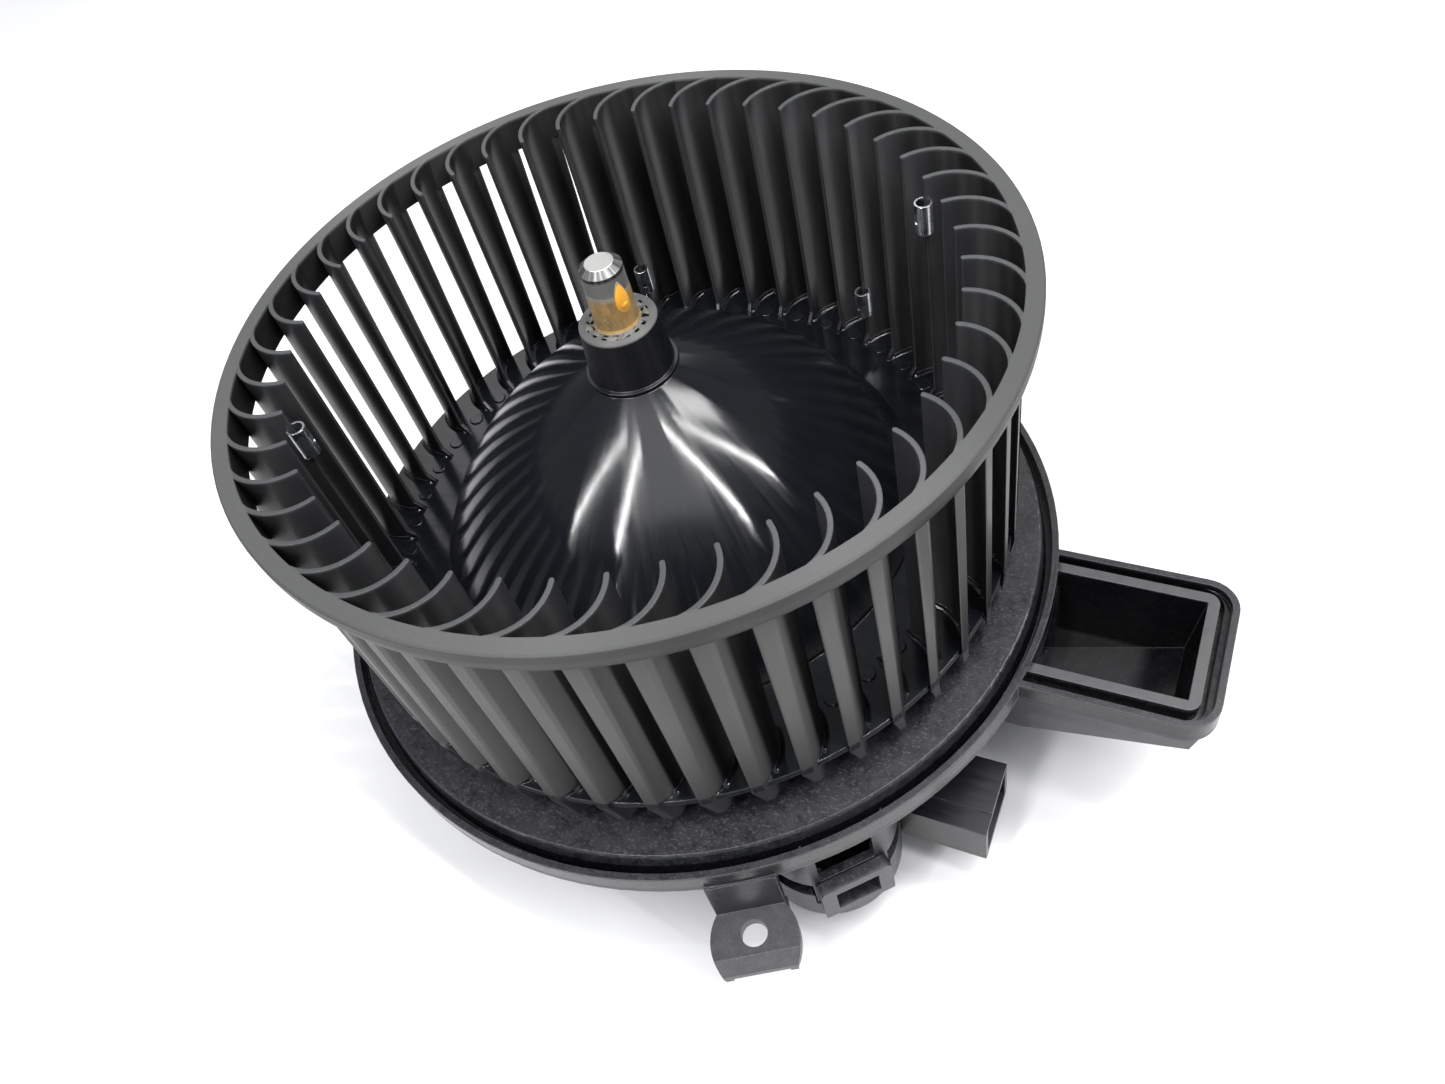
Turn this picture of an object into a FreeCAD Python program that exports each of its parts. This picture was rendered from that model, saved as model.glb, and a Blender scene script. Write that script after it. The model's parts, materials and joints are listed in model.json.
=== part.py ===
import FreeCAD, Part
import math
import os

# Automotive heater blower: squirrel-cage wheel on a brushed DC motor in a moulded housing.
# Millimetres. +Z runs along the motor axis towards the wheel and +X along the cooling-air duct.
# The origin is the centre of the three ear holes, in the plane on which the ears seat.

V = FreeCAD.Vector

# ---------------------------------------------------------------- wheel
SHAFT_R = 4.0
RIM_R = 75.0
RIM_INNER_R = 71.8
RIM_TOP_Z = 86.4
RIM_HEIGHT = 7.0
RIM_BAND_HEIGHT = 2.2
RIM_CHAMFER = 0.4
WHEEL_FLOOR_Z = 30.0
WHEEL_FLOOR_R = 71.0
WHEEL_FLOOR_THICKNESS = 1.6
BLADE_COUNT = 47
BLADE_TIP_R = 61.5
BLADE_BEND_R = 9.8
BLADE_THICKNESS = 0.9
BLADE_OUTER_R = 71.85
BLADE_END_TURN = -9.0
BLADE_FOOT_Z = 22.5
FOOT_TOOTH_R = [68.9, 70.75]
FOOT_INNER_R = 62.5
GUSSET_REACH = 1.8
GUSSET_HEIGHT = 2.4
FIRST_BLADE_ANGLE = 5.05
BOSS_TOP_Z = 81.8
BOSS_TOP_R = 7.44
BOSS_BASE_R = 8.3
BOSS_BASE_Z = 71.2
DOME_CENTRE_R = -19.2
DOME_CENTRE_Z = -3.1
DOME_R = 78.6
DOME_THICKNESS = 1.8
SLEEVE_R = 7.2
SLEEVE_END_Z = 62.0
FLUTE_COUNT = 16
FLUTE_DEPTH = 9.0
FLUTE_R = [4.5, 5.9]
FLUTE_HALF = 0.5

# ---------------------------------------------------------------- balance clips
CLIP_R = 1.75
CLIP_GAUGE = 0.4
CLIP_HEIGHT = 6.5
CLIP_PUNCH_R = 0.5
CLIP_PLACES = [(5, 77.9), (8, 41.9), (15, 43.0), (28, 78.8)]  # blade number, middle height

# ---------------------------------------------------------------- shaft
SHAFT_TOP_Z = 94.75
SHAFT_BOTTOM_Z = -23.8
COMPOUND_TOP_Z = 89.6
COMPOUND_RUN_R = 1.35
COMPOUND_RUN_ANGLE = -24.0

# ---------------------------------------------------------------- mounting flange
LIP_R = 80.25
LIP_WALL = 1.35
LIP_TOP_Z = 17.0
LIP_BOTTOM_Z = 11.6
GROOVE_Z = 13.3
PLATEAU_R = 76.7
PLATEAU_FOOT_R = 77.8
PLATEAU_Z = 18.85
PLATEAU_THICKNESS = 2.5
CUP_R = 43.0
CUP_WALL = 2.2
CUP_TOP_Z = 24.0
CUP_BOTTOM_Z = -26.9
CUP_BORE_R = 37.0
MOTOR_SPACE_R = 36.5
MOTOR_SPACE_Z = [-8.0, 14.0]
LEDGE_Z = [-6.4, -4.3]
LEDGE_HALF = 4.0
RIB_HALF = 0.8
RIB_ANGLES = [30, 45, 80, 100, 120, 140, 160, 200, 220, 240, 260, 280, 330]

# ---------------------------------------------------------------- ears
EAR_ANGLES = [-60, 60, 180]
EAR_HOLE_PCD = 171.0
EAR_HOLE_R = 2.6
EAR_LEAD_IN_R = 3.4
EAR_LEAD_IN_DEPTH = 0.8
EAR_THICKNESS = 3.0
EAR_NECK_HALF = 6.8
EAR_BELLY_HALF = 8.7
EAR_TOE_HALF = 7.2
EAR_END_R = 92.3
NECK_R = 80.7
NECK_WALL = 2.2

# ---------------------------------------------------------------- cooling-air duct
DUCT_END_X = 114.35
DUCT_HALF = 17.1
DUCT_CORNER_R = 6.5
DUCT_WALL_END_X = 110.6
DUCT_WALL_HALF = 13.6
DUCT_WALL = 2.0
DUCT_WALL_TOP_Z = 17.2
DUCT_LEDGE_X = 111.7
DUCT_LEDGE_Z = 15.4
DUCT_DEEP_Z = -9.0
DUCT_DEEP_X = 78.0
DUCT_TOE_X = 110.0
DUCT_TOE_Z = 2.4
DUCT_DRAFT = 0.16
DUCT_SKIN = 2.0

# ---------------------------------------------------------------- filter pod and connector
POD_ANGLE = -45.0
POD_RADIAL = 66.0
POD_R = 15.0
POD_WALL = 1.8
POD_FLAT = 78.5
POD_SPLIT_Z = -5.0
POD_FLANK_Z = -1.5
POD_COVER_TOP_Z = -7.0
POD_BOTTOM_Z = -20.0
POD_LEDGE_Z = -11.0
TONGUE_HALF = 8.0
WINDOW_Y = [-6.4, 5.4]
WINDOW_Z = [-1.5, 9.2]
LOOP_HALF = 7.6
LOOP_DEPTH = 2.9
LOOP_TOP_Z = -1.5
LOOP_BAR = 2.4
LOOP_LEG = 3.0
CATCH_HALF = 4.3
SKIRT_WALL = 1.2
CHANNEL_NEAR = 36.0
CHANNEL_FAR = 62.0
CHANNEL_LEFT = -10.0
CHANNEL_RIGHT = 19.0
CABLE_PORT = [36.0, 48.0, -6.5, 13.5, -16.0, 8.0]  # radial, across, up
POD_RIB = [70.0, 75.6, 9.2, 10.2]  # radial, across
PLUG_X = [51.0, 78.0]
PLUG_Y = [-39.2, -22.8]
PLUG_Z = [-18.0, -5.0]
PLUG_WALL = 1.5
SOCKET_DEPTH = 17.0
TERMINAL_Y = [-27.5, -34.5]
TERMINAL_GAUGE = 0.8
TERMINAL_Z = [-13.5, -9.5]
TERMINAL_TAB_Z = [-14.3, -8.7]
TERMINAL_TURN_X = [46.0, 50.0]
TERMINAL_ACROSS = [-3.0, 4.0]
TERMINAL_INNER_R = 23.5
PLUG_STEP_WIDTH = 4.6
PLUG_STEP_DEPTH = 0.7
KEY_HALF = 0.7
KEY_HEIGHT = 1.8

# ---------------------------------------------------------------- motor
CAN_R = 32.0
CAN_WALL = 1.8
CAN_TOP_Z = 50.0
CAN_BOTTOM_Z = -16.0
CAN_SHOULDER = 4.5
TOP_VENT = [14.5, 23.5, -3.2, 3.2]  # radial, across
SIDE_VENT_HALF = 5.0
SIDE_VENT_Z = [-8.0, -1.0]
SIDE_VENT_ANGLES = [45, 105, 165, 225]
END_VENT = [14.0, 25.0, -2.6, 2.6]  # radial, across
BEARING_BOSS_R = 9.8
BEARING_SEAT_R = 8.0
BEARING_R = 7.9
BEARING_HALF = 3.5
BEARING_BORE_R = 4.04
FELT_R = [4.7, 7.8]
RETAINER_R = [5.6, 13.0]
RETAINER_THICKNESS = 0.55
BEARING_Z = [51.7, -19.5]
CORE_R = 24.4
CORE_Z = [8.0, 38.0]
SLOT_COUNT = 12
SLOT_R = [12.5, 22.4]
SLOT_HALF = 2.6
SLOT_MOUTH_HALF = 1.1
WINDING_R = [12.7, 22.2]
WINDING_HALF = 2.3
WINDING_END_HEIGHT = 5.6
COMMUTATOR_R = 9.0
COMMUTATOR_CORE_R = 7.0
COMMUTATOR_Z = [-9.5, 4.0]
COMMUTATOR_BAR_SPAN = 27.0
THRUST_WASHER_R = 7.0
THRUST_WASHER_THICKNESS = 0.7
THRUST_WASHER_Z = [-15.2, 46.7]
MAGNET_R = [25.2, 30.1]
MAGNET_Z = [2.0, 44.0]
MAGNET_SPAN = 140.0
CARD_Z = [-12.0, -10.0]
BRUSH_ANGLES = [45.0, 225.0]
BRUSH_HALF_WIDTH = 4.0
BRUSH_Z = [-9.25, -3.05]
BRUSH_BACK = 20.0
SPRING_TURNS = 3.5
HOLDER_END = 27.8
HOLDER_CLEARANCE = 0.15
HOLDER_GAUGE = 0.5
DAMPER_LOBES = 6
DAMPER_HEIGHT = 5.0
DAMPER_WALL = 2.2
DAMPER_LOBE_HALF = 3.2
DAMPER_LOW_Z = [18.0, -4.2]
CARD_R = [10.8, 29.8]
CARD_FEET = [90, 210, 330]
CARD_FOOT_R = 1.8
CARD_AIR_ANGLES = [100, 170, 190, 260]
SPRING_WIRE_R = 0.3
SPRING_COIL_R = 2.1
LEAD_R = 0.55
LEAD_BEND = 1.6
LEAD_X = 16.5
CHOKE_ANGLES = [0, -90]
CHOKE_ROD_R = 1.7
CHOKE_LENGTH = 15.0
CHOKE_CENTRE = [20.5, -6.6]  # along X, up
CHOKE_TURNS = 8
CHOKE_PITCH = 1.4
CHOKE_COIL_R = 2.3
CHOKE_WIRE_R = 0.62
CAPACITOR_ANGLE = 135
FUSE_ANGLE = 80

# ---------------------------------------------------------------- bottom cover
BASE_Z = -29.0
BASE_THICKNESS = 2.0
BASE_RIM_R = 45.6
BASE_RIM_TOP_Z = -21.0
SCREW_ANGLES = [30, 150, 270]
SCREW_PCD = 98.4
SCREW_HEAD_R = 3.4
SCREW_SHANK_R = 1.38
SCREW_END_Z = -11.0
PILOT_R = 1.4
CLEARANCE_R = 1.9
RECESS_HALF = [1.9, 0.4]
LUG_R = 4.2
LUG_TOP_Z = -8.0
LUG_WEB_HALF = 2.5
SEAT_R = 12.0

OUT = "parts"
FIT_GAP = 0.3
EPS = 0.01


# ---------------------------------------------------------------- helpers
def save(shape, node):
    shape.exportStep(OUT + "/" + node + ".step")


def rod(radius, low, high, x=0.0, y=0.0):
    return Part.makeCylinder(radius, high - low, V(x, y, low))


def tube(outer, inner, low, high):
    return rod(outer, low, high).cut(rod(inner, low - 1, high + 1))


def block(x0, x1, y0, y1, z0, z1):
    return Part.makeBox(x1 - x0, y1 - y0, z1 - z0, V(x0, y0, z0))


def turned_about_z(shape, angle):
    turned = shape.copy()
    turned.rotate(V(0, 0, 0), V(0, 0, 1), angle)
    return turned


def around(shape, angles):
    return [turned_about_z(shape, angle) for angle in angles]


def evenly(count, start=0.0):
    return [start + 360.0 * index / count for index in range(count)]


def at(radial, tangential, angle):
    turn = math.radians(angle)
    x = radial * math.cos(turn) - tangential * math.sin(turn)
    y = radial * math.sin(turn) + tangential * math.cos(turn)
    return x, y


def profile_edges(points, place):
    """Edges of a closed outline: a point is (a, b), or (a, b, mid_a, mid_b) for an arc that ends there."""
    edges = []
    start = points[-1][:2]
    for point in points:
        end = point[:2]
        if len(point) == 4:
            edges.append(Part.Arc(place(*start), place(*point[2:]), place(*end)).toShape())
        else:
            edges.append(Part.makeLine(place(*start), place(*end)))
        start = end
    return edges


def revolved(points):
    edges = profile_edges(points, lambda r, z: V(r, 0, z))
    return Part.Face(Part.Wire(edges)).revolve(V(0, 0, 0), V(0, 0, 1), 360)


def plate(points, low, high):
    edges = profile_edges(points, lambda x, y: V(x, y, low))
    return Part.Face(Part.Wire(edges)).extrude(V(0, 0, high - low))


def wedge_y(points, half):
    """Prism along Y from an outline of (x, z) points."""
    edges = profile_edges(points, lambda x, z: V(x, -half, z))
    return Part.Face(Part.Wire(edges)).extrude(V(0, 2 * half, 0))


def merged(shapes):
    whole = shapes[0].multiFuse(shapes[1:]) if len(shapes) > 1 else shapes[0]
    return whole.removeSplitter()


def group(shapes):
    return Part.makeCompound(shapes)


def arc_middle(centre, radius, start, end):
    """Point half way along the arc from start to end about centre."""
    first = math.atan2(start[1] - centre[1], start[0] - centre[0])
    last = math.atan2(end[1] - centre[1], end[0] - centre[0])
    middle = (first + last) / 2
    return centre[0] + radius * math.cos(middle), centre[1] + radius * math.sin(middle)


def dome_r(z, radius):
    return DOME_CENTRE_R + math.sqrt(radius ** 2 - (z - DOME_CENTRE_Z) ** 2)


def dome_z(r, radius):
    return DOME_CENTRE_Z + math.sqrt(radius ** 2 - (r - DOME_CENTRE_R) ** 2)


# ---------------------------------------------------------------- wheel
def wheel_hub():
    bore = SHAFT_R - EPS
    inner = DOME_R - DOME_THICKNESS
    centre = (DOME_CENTRE_R, DOME_CENTRE_Z)
    floor_low = WHEEL_FLOOR_Z - WHEEL_FLOOR_THICKNESS
    collar_r = BOSS_BASE_R + 0.7
    outer_start = (collar_r, dome_z(collar_r, DOME_R))
    outer_end = (dome_r(WHEEL_FLOOR_Z, DOME_R), WHEEL_FLOOR_Z)
    inner_start = (dome_r(floor_low, inner), floor_low)
    inner_end = (SLEEVE_R, dome_z(SLEEVE_R, inner))
    hub = revolved([
        (bore, SLEEVE_END_Z),
        (bore, BOSS_TOP_Z),
        (BOSS_TOP_R - 0.2, BOSS_TOP_Z),
        (BOSS_TOP_R, BOSS_TOP_Z - 0.2),
        (BOSS_BASE_R, BOSS_BASE_Z),
        (collar_r, BOSS_BASE_Z - 0.1),
        outer_start,
        outer_end + arc_middle(centre, DOME_R, outer_start, outer_end),
        (WHEEL_FLOOR_R, WHEEL_FLOOR_Z),
        (WHEEL_FLOOR_R, floor_low),
        inner_start,
        inner_end + arc_middle(centre, inner, inner_start, inner_end),
        (SLEEVE_R, SLEEVE_END_Z),
    ])
    flute = block(FLUTE_R[0], FLUTE_R[1], -FLUTE_HALF, FLUTE_HALF, BOSS_TOP_Z - FLUTE_DEPTH, BOSS_TOP_Z + 1)
    return hub.cut(around(flute, evenly(FLUTE_COUNT)))


def wheel_rim():
    low = RIM_TOP_Z - RIM_HEIGHT
    return revolved([
        (RIM_INNER_R - 0.3, low),
        (RIM_INNER_R, RIM_TOP_Z),
        (RIM_R - RIM_CHAMFER, RIM_TOP_Z),
        (RIM_R, RIM_TOP_Z - RIM_CHAMFER),
        (RIM_R, RIM_TOP_Z - RIM_BAND_HEIGHT),
        (RIM_INNER_R + 0.8, low, RIM_R - 0.7, RIM_TOP_Z - 4.9),
    ])


def blade():
    """One blade with its tip on +X: a round nose that bends through a quarter turn into the rim."""
    half = BLADE_THICKNESS / 2
    bend_x = BLADE_TIP_R + half
    centre = (bend_x, -BLADE_BEND_R)
    end_turn = math.radians(BLADE_END_TURN)

    def on_bend(radius):
        return centre[0] + radius * math.cos(end_turn), centre[1] + radius * math.sin(end_turn)

    outer = BLADE_BEND_R + half
    inner = BLADE_BEND_R - half
    outer_end = on_bend(outer)
    inner_end = on_bend(inner)
    outer_start = (bend_x, half)
    inner_start = (bend_x, -half)
    section = plate([
        outer_start + (BLADE_TIP_R, 0.0),
        outer_end + arc_middle(centre, outer, outer_start, outer_end),
        inner_end,
        inner_start + arc_middle(centre, inner, inner_end, inner_start),
    ], BLADE_FOOT_Z - 1, RIM_TOP_Z)
    floor_low = WHEEL_FLOOR_Z - WHEEL_FLOOR_THICKNESS
    envelope = revolved([
        (BLADE_TIP_R - 1, floor_low),
        (BLADE_TIP_R - 1, RIM_TOP_Z),
        (RIM_INNER_R + 1.1, RIM_TOP_Z),
        (RIM_INNER_R + 1.1, RIM_TOP_Z - 5.0),
        (BLADE_OUTER_R, RIM_TOP_Z - RIM_HEIGHT),
        (BLADE_OUTER_R - 0.3, floor_low),
        (FOOT_TOOTH_R[1], BLADE_FOOT_Z),
        (FOOT_TOOTH_R[0], BLADE_FOOT_Z),
        (FOOT_INNER_R, floor_low),
    ])
    gusset = wedge_y([
        (BLADE_TIP_R - GUSSET_REACH, floor_low + 0.4),
        (BLADE_TIP_R - GUSSET_REACH, WHEEL_FLOOR_Z + 0.1),
        (BLADE_TIP_R + 0.1, WHEEL_FLOOR_Z + GUSSET_HEIGHT),
        (BLADE_TIP_R + 0.6, WHEEL_FLOOR_Z + GUSSET_HEIGHT),
        (BLADE_TIP_R + 0.6, floor_low + 0.4),
    ], half - 0.05)
    return section.common(envelope).fuse(gusset)


def blade_angle(index):
    return FIRST_BLADE_ANGLE + 360.0 * index / BLADE_COUNT


def fan_wheel():
    one = blade()
    blades = [turned_about_z(one, blade_angle(index)) for index in range(BLADE_COUNT)]
    return wheel_hub().multiFuse([wheel_rim()] + blades)


def balance_clips():
    """C-section spring clips pressed over the inner edges of four blades."""
    centre_x = BLADE_TIP_R - 0.15
    ring = rod(CLIP_R, 0, CLIP_HEIGHT, centre_x).cut(rod(CLIP_R - CLIP_GAUGE, -1, CLIP_HEIGHT + 1, centre_x))
    slit_half = BLADE_THICKNESS / 2 - 0.02
    slit = block(centre_x, centre_x + 4, -slit_half - 0.06, slit_half - 0.06, -1, CLIP_HEIGHT + 1)
    punched = Part.makeCylinder(CLIP_PUNCH_R, 2, V(centre_x - CLIP_R - 0.5, 0, CLIP_HEIGHT * 0.4), V(1, 0, 0))
    clip = ring.cut([slit, punched])
    placed = []
    for number, height in CLIP_PLACES:
        moved = clip.copy()
        moved.translate(V(0, 0, height - CLIP_HEIGHT / 2))
        placed.append(turned_about_z(moved, blade_angle(number)))
    return group(placed)


# ---------------------------------------------------------------- shaft
def motor_shaft():
    return revolved([
        (0, SHAFT_BOTTOM_Z),
        (SHAFT_R - 0.5, SHAFT_BOTTOM_Z),
        (SHAFT_R, SHAFT_BOTTOM_Z + 0.5),
        (SHAFT_R, SHAFT_TOP_Z - 1.1),
        (SHAFT_R - 1.4, SHAFT_TOP_Z),
        (0, SHAFT_TOP_Z),
    ])


def retaining_compound():
    """Smear of cured adhesive on the shaft above the hub, with one thicker run."""
    smear = revolved([
        (SHAFT_R + EPS, BOSS_TOP_Z + EPS),
        (SHAFT_R + 0.5, BOSS_TOP_Z + EPS),
        (SHAFT_R + 0.16, BOSS_TOP_Z + 0.6),
        (SHAFT_R + 0.12, COMPOUND_TOP_Z - 1.0),
        (SHAFT_R + EPS, COMPOUND_TOP_Z),
    ])
    run_x, run_y = at(SHAFT_R - COMPOUND_RUN_R / 2, 0, COMPOUND_RUN_ANGLE)
    run = Part.makeSphere(COMPOUND_RUN_R, V(run_x, run_y, COMPOUND_TOP_Z - 2.3))
    return smear.fuse(run).cut(rod(SHAFT_R + EPS, BOSS_TOP_Z, SHAFT_TOP_Z))


# ---------------------------------------------------------------- armature
def armature_core():
    disc = rod(CORE_R, CORE_Z[0], CORE_Z[1]).cut(rod(SHAFT_R, CORE_Z[0] - 1, CORE_Z[1] + 1))
    slot = block(SLOT_R[0], SLOT_R[1], -SLOT_HALF, SLOT_HALF, CORE_Z[0] - 1, CORE_Z[1] + 1)
    mouth = block(SLOT_R[1] - 0.4, CORE_R + 1, -SLOT_MOUTH_HALF, SLOT_MOUTH_HALF, CORE_Z[0] - 1, CORE_Z[1] + 1)
    return disc.cut(around(slot.fuse(mouth), evenly(SLOT_COUNT)))


def armature_windings():
    low = CORE_Z[0] - 0.2
    high = CORE_Z[1] + 0.2
    inner, outer = WINDING_R
    bar = block(inner + 0.2, outer - 0.2, -WINDING_HALF, WINDING_HALF, low - 1, high + 1)
    ends = []
    for face, sign in ((low, -1), (high, 1)):
        end = face + sign * WINDING_END_HEIGHT
        ends.append(revolved([
            (inner, face),
            (inner, end - sign * 2),
            (inner + 2.3, end, inner + 0.6, end - sign * 0.6),
            (outer - 2.6, end),
            (outer, end - sign * 2.4, outer - 0.7, end - sign * 0.8),
            (outer, face),
        ]))
    return merged(ends + around(bar, evenly(SLOT_COUNT)))


def commutator_hub():
    return tube(COMMUTATOR_CORE_R, SHAFT_R, COMMUTATOR_Z[0], COMMUTATOR_Z[1])


def commutator_bars():
    low, high = COMMUTATOR_Z
    bar = Part.makeCylinder(COMMUTATOR_R, high - low - 0.6, V(0, 0, low + 0.3), V(0, 0, 1), COMMUTATOR_BAR_SPAN)
    bar = bar.cut(rod(COMMUTATOR_CORE_R, low - 1, high + 1))
    tang = block(COMMUTATOR_R - 0.4, COMMUTATOR_R + 2, -0.8, 0.8, high - 1.9, high - 0.3)
    bar = bar.fuse(turned_about_z(tang, COMMUTATOR_BAR_SPAN / 2))
    return group(around(bar, evenly(SLOT_COUNT)))


def thrust_washers():
    return group([tube(THRUST_WASHER_R, SHAFT_R, low, low + THRUST_WASHER_THICKNESS)
                  for low in THRUST_WASHER_Z])


# ---------------------------------------------------------------- mounting flange
def duct_outline(end_x, half, corner, low, high):
    start_x = 60.0
    bend = corner * (1 - math.sqrt(0.5))
    return plate([
        (start_x, -half),
        (end_x - corner, -half),
        (end_x, -half + corner, end_x - bend, -half + bend),
        (end_x, half - corner),
        (end_x - corner, half, end_x - bend, half - bend),
        (start_x, half),
    ], low, high)


def drafted_channel(end_x, half, start_x, top, bottom):
    """Straight channel that narrows downwards by the duct's draft."""
    def section(z):
        inset = DUCT_DRAFT * (top - z)
        x1 = end_x - inset
        y1 = half - inset
        return Part.makePolygon([V(start_x, -y1, z), V(x1, -y1, z), V(x1, y1, z), V(start_x, y1, z),
                                 V(start_x, -y1, z)])
    return Part.makeLoft([section(bottom), section(top)], True)


def under_slope(rise):
    """Everything below the duct's sloping floor, raised by a given amount."""
    low = DUCT_DEEP_Z - 30
    slope = (DUCT_TOE_Z - DUCT_DEEP_Z) / (DUCT_TOE_X - DUCT_DEEP_X)
    far_x = 130.0
    far_z = DUCT_DEEP_Z + slope * (far_x - DUCT_DEEP_X)
    return wedge_y([
        (0, DUCT_DEEP_Z + rise),
        (DUCT_DEEP_X, DUCT_DEEP_Z + rise),
        (far_x, far_z + rise),
        (far_x, low),
        (0, low),
    ], 40)


def duct_shell():
    body_top = LIP_BOTTOM_Z + 0.5
    body = drafted_channel(DUCT_WALL_END_X + 1.6, DUCT_WALL_HALF + 1.4, CUP_R - 4, body_top, DUCT_DEEP_Z)
    return body.cut(under_slope(0))


def duct_bore():
    inner_half = DUCT_WALL_HALF - DUCT_WALL
    bore = drafted_channel(DUCT_WALL_END_X - DUCT_WALL, inner_half, CUP_R - 8, DUCT_WALL_TOP_Z + 1,
                           DUCT_DEEP_Z - 1)
    bore = bore.cut(under_slope(DUCT_SKIN))
    return bore.cut(rod(LIP_R, PLATEAU_Z - PLATEAU_THICKNESS - 5.2, PLATEAU_Z + 5))


def lip_tray():
    """Outer lip, groove and duct rim, all on one floor."""
    outside = rod(LIP_R, LIP_BOTTOM_Z, LIP_TOP_Z).fuse(
        duct_outline(DUCT_END_X, DUCT_HALF, DUCT_CORNER_R, LIP_BOTTOM_Z, LIP_TOP_Z))
    duct_groove = duct_outline(DUCT_LEDGE_X, DUCT_HALF - LIP_WALL, DUCT_CORNER_R - 2, GROOVE_Z, LIP_TOP_Z + 1)
    duct_ledge = duct_outline(DUCT_END_X - LIP_WALL, DUCT_HALF - LIP_WALL, DUCT_CORNER_R - LIP_WALL,
                              DUCT_LEDGE_Z, LIP_TOP_Z + 1)
    keep = rod(LIP_R, GROOVE_Z - 1, LIP_TOP_Z + 2)
    ring_groove = rod(LIP_R - LIP_WALL, GROOVE_Z, LIP_TOP_Z + 1)
    inside = rod(PLATEAU_R - 2, LIP_BOTTOM_Z - 1, LIP_TOP_Z + 1)
    return outside.cut([duct_groove.cut(keep), duct_ledge.cut(keep), ring_groove, inside])


def groove_room():
    """Open space of the groove between the plateau's drafted side and the lip."""
    return revolved([
        (PLATEAU_R, PLATEAU_Z - 0.5),
        (PLATEAU_FOOT_R, GROOVE_Z),
        (LIP_R - LIP_WALL, GROOVE_Z),
        (LIP_R - LIP_WALL, PLATEAU_Z),
        (PLATEAU_R, PLATEAU_Z),
    ])


def duct_wall():
    outer = duct_outline(DUCT_WALL_END_X, DUCT_WALL_HALF, 2.5, LIP_BOTTOM_Z, DUCT_WALL_TOP_Z)
    return outer.cut(rod(LIP_R - 0.5, LIP_BOTTOM_Z - 1, DUCT_WALL_TOP_Z + 1))


def ear():
    """Ear on +X: vertical neck below the lip, stepped-down plate, toe chamfer and two side ribs."""
    neck = block(NECK_R - NECK_WALL, NECK_R, -EAR_NECK_HALF, EAR_NECK_HALF, -EAR_THICKNESS, LIP_BOTTOM_Z + 1)
    belly_x = (NECK_R + EAR_END_R) / 2
    ear_plate = plate([
        (NECK_R - NECK_WALL, -EAR_NECK_HALF),
        (NECK_R, -EAR_NECK_HALF),
        (EAR_END_R, -EAR_TOE_HALF, belly_x, -EAR_BELLY_HALF),
        (EAR_END_R, EAR_TOE_HALF),
        (NECK_R, EAR_NECK_HALF, belly_x, EAR_BELLY_HALF),
        (NECK_R - NECK_WALL, EAR_NECK_HALF),
    ], -EAR_THICKNESS, 0)
    toe = wedge_y([(EAR_END_R - 2.8, 0), (EAR_END_R + 1, 0), (EAR_END_R + 1, -1.9)], 12)
    rib = wedge_y([
        (NECK_R - NECK_WALL, -EAR_THICKNESS + 0.5),
        (EAR_END_R - 0.3, -EAR_THICKNESS + 0.5),
        (EAR_END_R - 0.3, -EAR_THICKNESS - 1.8),
        (EAR_END_R - 2.0, -EAR_THICKNESS - 2.4),
        (NECK_R - NECK_WALL, -EAR_THICKNESS - 2.4),
    ], 0.8)
    ribs = []
    for side in (-1, 1):
        moved = rib.copy()
        moved.translate(V(0, side * (EAR_TOE_HALF - 0.9), 0))
        ribs.append(moved)
    hole_x = EAR_HOLE_PCD / 2
    hole = rod(EAR_HOLE_R, -10, 10, hole_x)
    lead_in = Part.makeCone(EAR_LEAD_IN_R, EAR_HOLE_R, EAR_LEAD_IN_DEPTH, V(hole_x, 0, -EAR_THICKNESS))
    return merged([neck, ear_plate.cut(toe)] + ribs).cut([hole, lead_in])


def pod_block(inset, low, high, corner=0.0):
    """Filter pod and its wire channel as one block, shrunk by an inset, in the pod's own direction."""
    radius = POD_R - inset
    if corner:
        drum = revolved([
            (0, low),
            (radius - corner, low),
            (radius, low + corner, radius - 0.293 * corner, low + 0.293 * corner),
            (radius, high),
            (0, high),
        ])
    else:
        drum = rod(radius, low, high)
    drum.translate(V(POD_RADIAL, 0, 0))
    channel = block(CHANNEL_NEAR, CHANNEL_FAR - inset, CHANNEL_LEFT + inset, CHANNEL_RIGHT - inset, low, high)
    return drum.fuse(channel)


def beyond_flat(inset, low, high):
    return block(POD_FLAT - inset, POD_FLAT + 10, -20, 20, low, high)


def pod_flanks(low, high):
    """Where the pod's drum stands open above its cover, clear of the channel and the connector."""
    left_and_front = block(55, POD_FLAT + 10, -POD_R - 1, TONGUE_HALF, low, high)
    right = block(70, POD_FLAT + 10, TONGUE_HALF - 1, POD_R + 1, low, high)
    return left_and_front.fuse(right)


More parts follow.
